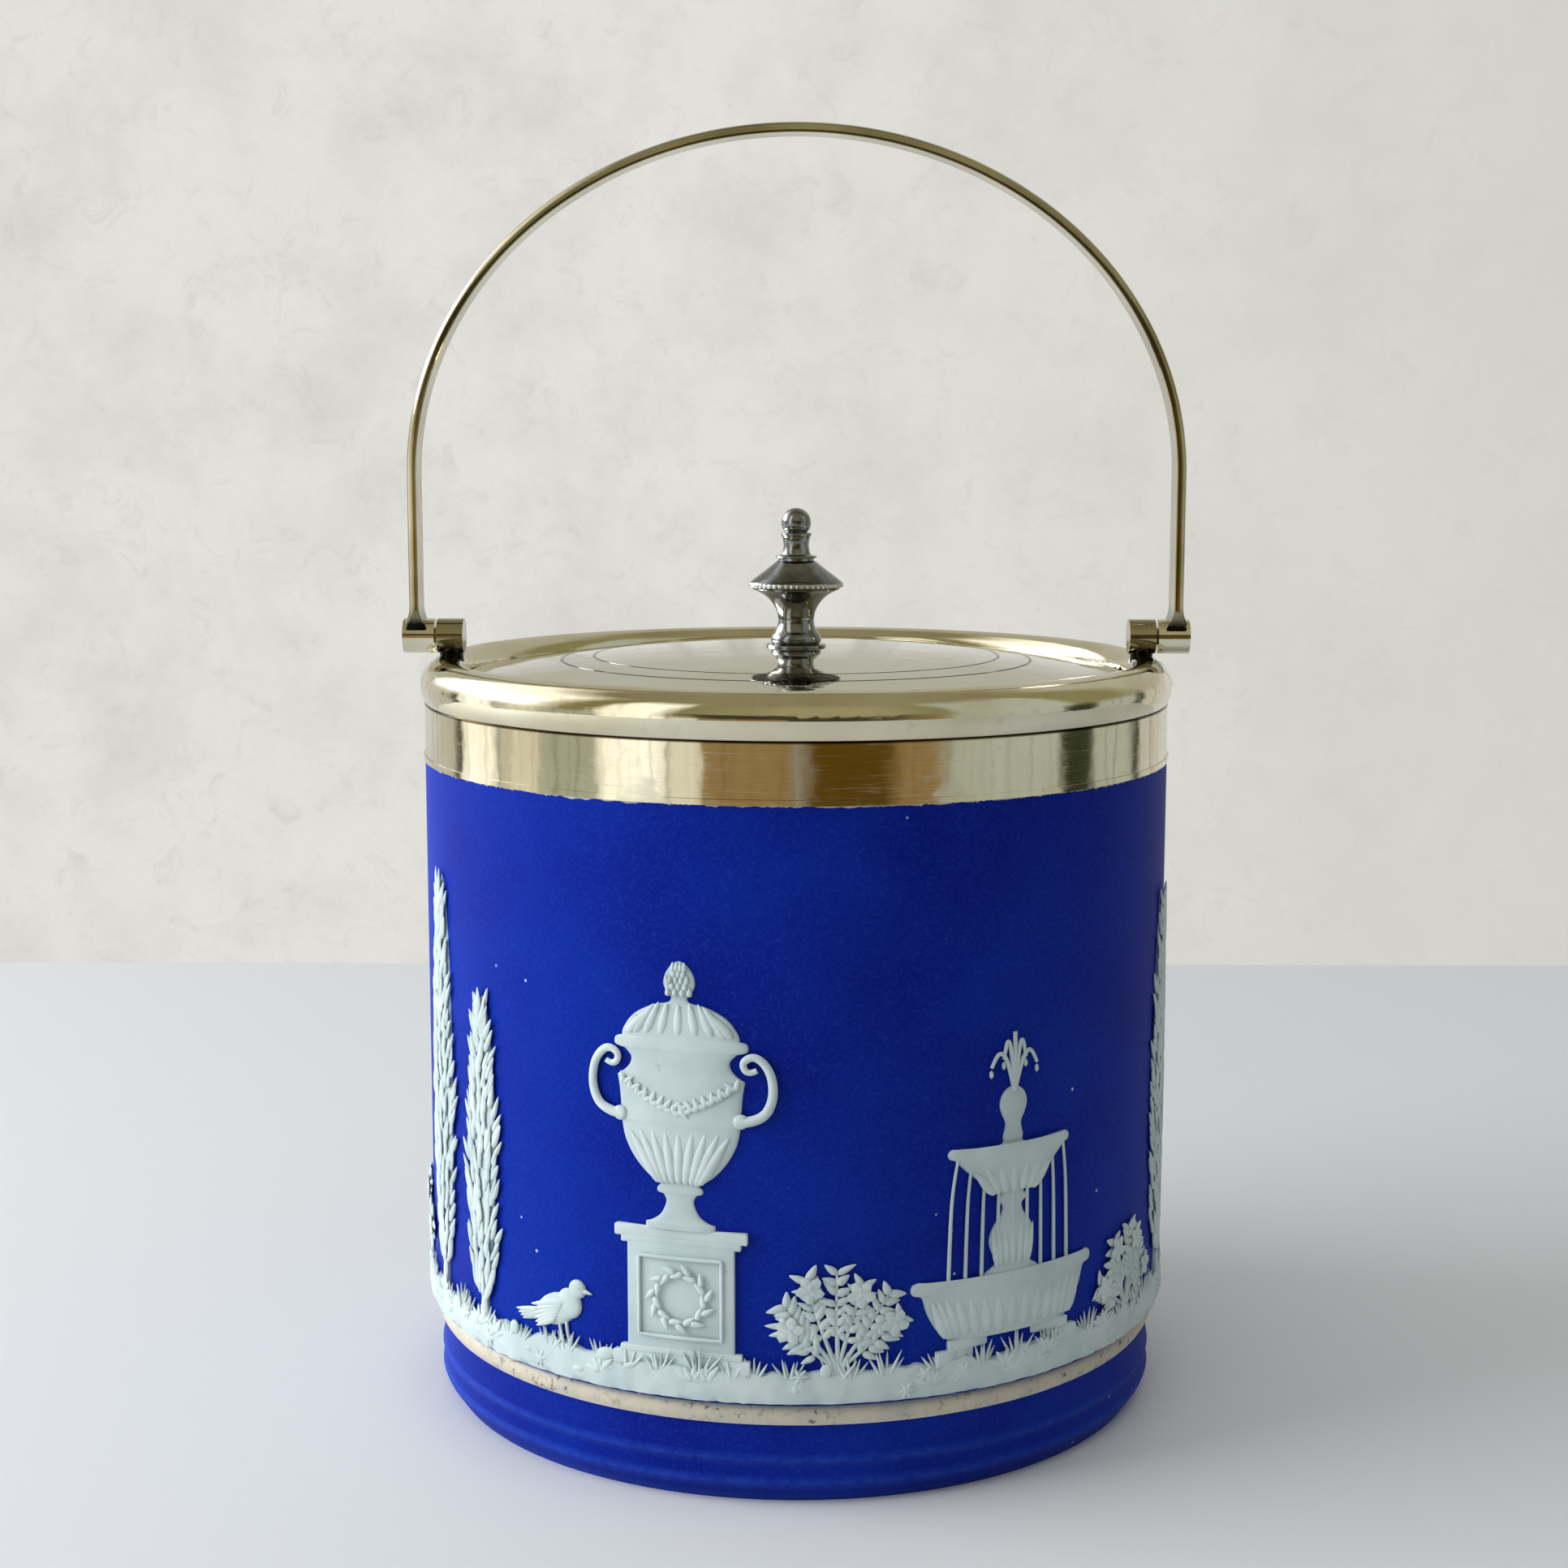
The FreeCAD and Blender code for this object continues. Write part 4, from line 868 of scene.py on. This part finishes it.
def addFloor():
    # Painted table top, smooth and matt, its back edge where the wall starts
    floor = {"halfWidth": 0.6, "front": -0.62, "back": 0.331, "colour": "#dcdfe0", "roughness": 0.5,
             "gloss": 0.08}
    form = bmesh.new()
    middle = Matrix.Translation((0, (floor["front"] + floor["back"]) / 2, 0))
    reach = Matrix.Diagonal((2 * floor["halfWidth"], floor["back"] - floor["front"], 1, 1))
    bmesh.ops.create_grid(form, x_segments=1, y_segments=1, size=0.5, matrix=middle @ reach)
    mesh = bpy.data.meshes.new("floor")
    form.to_mesh(mesh)
    form.free()
    material, tree, shader, place, noises = startMaterial("paintedTable", {})
    setSockets(tree, shader, {"Base Color": floor["colour"], "Roughness": floor["roughness"],
                              "Specular IOR Level": floor["gloss"]})
    mesh.materials.append(material)
    table = bpy.data.objects.new("floor", mesh)
    bpy.context.scene.collection.objects.link(table)


def addArea(name, place, target, size, watts, colour):
    light = bpy.data.lights.new(name, "AREA")
    light.shape = "RECTANGLE"
    light.size = size[0]
    light.size_y = size[1]
    light.energy = watts
    light.color = toLinear(colour)[:3]
    lamp = bpy.data.objects.new(name, light)
    lamp.location = place
    lamp.visible_glossy = False  # the room's windows are what metal shows
    lamp.rotation_euler = (Vector(target) - Vector(place)).to_track_quat("-Z", "Y").to_euler()
    bpy.context.scene.collection.objects.link(lamp)


def setWorld():
    # A pale plaster wall for the camera; for the metal a room with windows on the left, wood in front and a
    # door on the right; for matt surfaces daylight that falls off from the left to the right
    room = {"window": "#ffffff", "sunlit": "#c8c5b9", "plaster": "#9ca19c", "wood": "#806b49",
            "darkWood": "#4d3a0e", "shade": "#2c3325", "back": "#b0b0ac", "backHigh": "#9b9a90",
            "post": "#858078", "olive": "#787556", "ceiling": "#7d7862", "unlit": "#000000",
            "beam": "#38342a", "oak": "#8d886d"}
    paint = {"plain": "#e2e1db", "mottle": "#d6d4ce", "stain": "#c4c2bc", "dim": "#cdcdc6"}
    light = {"room": 1.7, "glare": 17.0, "day": 0.8, "overhead": "#f6f6f4", "streaks": 130}
    world = bpy.data.worlds.new("studio")
    bpy.context.scene.world = world
    world.use_nodes = True
    tree = world.node_tree
    tree.nodes.clear()
    ray = addNode(tree, "LightPath")
    way = addNode(tree, "TexCoord")["Generated"]
    part = addNode(tree, "SeparateXYZ", {"Vector": way})
    turn = addNode(tree, "Math", {0: part["X"], 1: part["Y"]}, operation="ARCTAN2")[0]
    share = addNode(tree, "MapRange", {"Value": turn, "From Min": -pi, "From Max": pi})["Result"]

    def around(*spans):
        # Azimuth from the front (-Y) by the left (-X), the wall (+Y) and the right (+X) back to the front;
        # a span is a colour, where it starts and where it ends
        stops = [(at, room[name]) for name, *ends in spans for at in ends]
        return addNode(tree, "ValToRGB", {"Fac": share}, stops)["Color"]

    sides = around(("post", 0.0), ("wood", 0.008, 0.074), ("sunlit", 0.080, 0.104), ("window", 0.118, 0.164),
                   ("plaster", 0.172, 0.222), ("sunlit", 0.232, 0.264), ("plaster", 0.278),
                   ("window", 0.290, 0.330), ("shade", 0.340), ("back", 0.356, 0.640), ("shade", 0.652),
                   ("plaster", 0.668, 0.718), ("shade", 0.728, 0.757), ("plaster", 0.766, 0.868),
                   ("wood", 0.885, 0.912), ("darkWood", 0.928, 0.984), ("post", 1.0))
    high = around(("oak", 0.0), ("olive", 0.100), ("window", 0.120, 0.165), ("olive", 0.180, 0.205),
                  ("sunlit", 0.225), ("window", 0.245, 0.395), ("backHigh", 0.410, 0.640),
                  ("olive", 0.680, 0.745), ("plaster", 0.758, 0.860), ("olive", 0.875), ("oak", 0.95, 1.0))
    grain = addNode(tree, "TexNoise", {"W": share, "Scale": light["streaks"], "Detail": 3, "Roughness": 0.6},
                    noise_dimensions="1D")["Fac"]
    seen = layColour(tree, sides, room["darkWood"], (grain, 0.5, 1.05))
    seen = layColour(tree, seen, high, (part["Z"], 0.05, 0.2))
    seen = layColour(tree, seen, room["ceiling"], (part["Z"], 0.72, 0.86))
    # A dark beam low in front, seen in the arch of the handle and the hinge barrels
    seen = layColour(tree, seen, room["beam"], (part["Z"], 0.05, 0.09), (part["Z"], 0.3, 0.24),
                     (addDistance(tree, share, 0.5), 0.38, 0.43))
    # The near window's sky is far brighter than its frame: matt surfaces turned to it get a haze
    broad = around(("unlit", 0.0, 0.245), ("window", 0.255, 0.385), ("unlit", 0.395, 1.0))
    sky = addMask(tree, (part["Z"], 0.16, 0.24), (part["Z"], 0.56, 0.48), (broad, 0, 1))
    bright = addNode(tree, "Math", {0: sky, 1: light["glare"], 2: light["room"]}, operation="MULTIPLY_ADD")[0]
    mirrored = addNode(tree, "Background", {"Color": seen, "Strength": bright})[0]
    patch = addNode(tree, "TexNoise", {"Vector": way, "Scale": 20, "Detail": 9, "Roughness": 0.68})["Fac"]
    smear = addNode(tree, "TexNoise", {"Vector": way, "Scale": 64, "Detail": 8, "Roughness": 0.72,
                                       "Distortion": 1.1})["Fac"]
    plain = layColour(tree, paint["plain"], paint["mottle"], (patch, 0.42, 0.68))
    plain = layColour(tree, plain, paint["stain"], (smear, 0.54, 0.95))
    # painted shade: the wall darker towards the right, away from the window on the left
    plain = layColour(tree, plain, paint["dim"], (part["X"], -0.05, 0.42))
    backdrop = addNode(tree, "Background", {"Color": plain})[0]
    day = addNode(tree, "ValToRGB", {"Fac": share}, [
        (0.00, "#6a6d72"), (0.12, "#b4b9c2"), (0.25, "#dfe6f0"), (0.45, "#d2d5d9"), (0.60, "#8a8c8c"),
        (0.72, "#1b2120"), (0.86, "#1b1f1d"), (1.00, "#62676c")])["Color"]
    day = layColour(tree, day, light["overhead"], (part["Z"], 0.25, 0.9))
    fill = addNode(tree, "Background", {"Color": day, "Strength": light["day"]})[0]
    glossy = addNode(tree, "Math", {0: ray["Is Glossy Ray"], 1: ray["Is Transmission Ray"]},
                     operation="MAXIMUM")[0]
    lit = addNode(tree, "MixShader", {0: glossy, 1: fill, 2: mirrored})[0]
    shown = addNode(tree, "MixShader", {0: ray["Is Camera Ray"], 1: lit, 2: backdrop})[0]
    addNode(tree, "OutputWorld", {"Surface": shown})


def addCamera():
    # Where the photograph was taken from: 428 mm in front, a little above the lid, looking down by 8 degrees
    view = {"place": (0, -427.8 * mm, 165.0 * mm), "pitch": 0.1419, "yaw": -0.0048, "roll": 0.001,
            "lens": 57.18, "sensor": 36}
    data = bpy.data.cameras.new("camera")
    data.lens = view["lens"]
    data.sensor_width = view["sensor"]
    camera = bpy.data.objects.new("camera", data)
    yaw = Matrix.Rotation(-view["yaw"], 4, "Z")
    pitch = Matrix.Rotation(pi / 2 - view["pitch"], 4, "X")
    roll = Matrix.Rotation(view["roll"], 4, "Z")
    camera.matrix_world = Matrix.Translation(view["place"]) @ yaw @ pitch @ roll
    bpy.context.scene.collection.objects.link(camera)
    bpy.context.scene.camera = camera


addFloor()
addArea("windowLight", (-1.0, -0.15, 0.46), (0, 0, 0.08), (0.9, 0.9), 13.6, "#f6f7fb")
addArea("roomLight", (-0.35, -1.1, 0.9), (0, 0, 0.1), (1.0, 0.8), 1.2, "#fff6ea")
setWorld()
addCamera()
bpy.context.scene.view_settings.view_transform = "Standard"
print("stage, lights and camera ready")
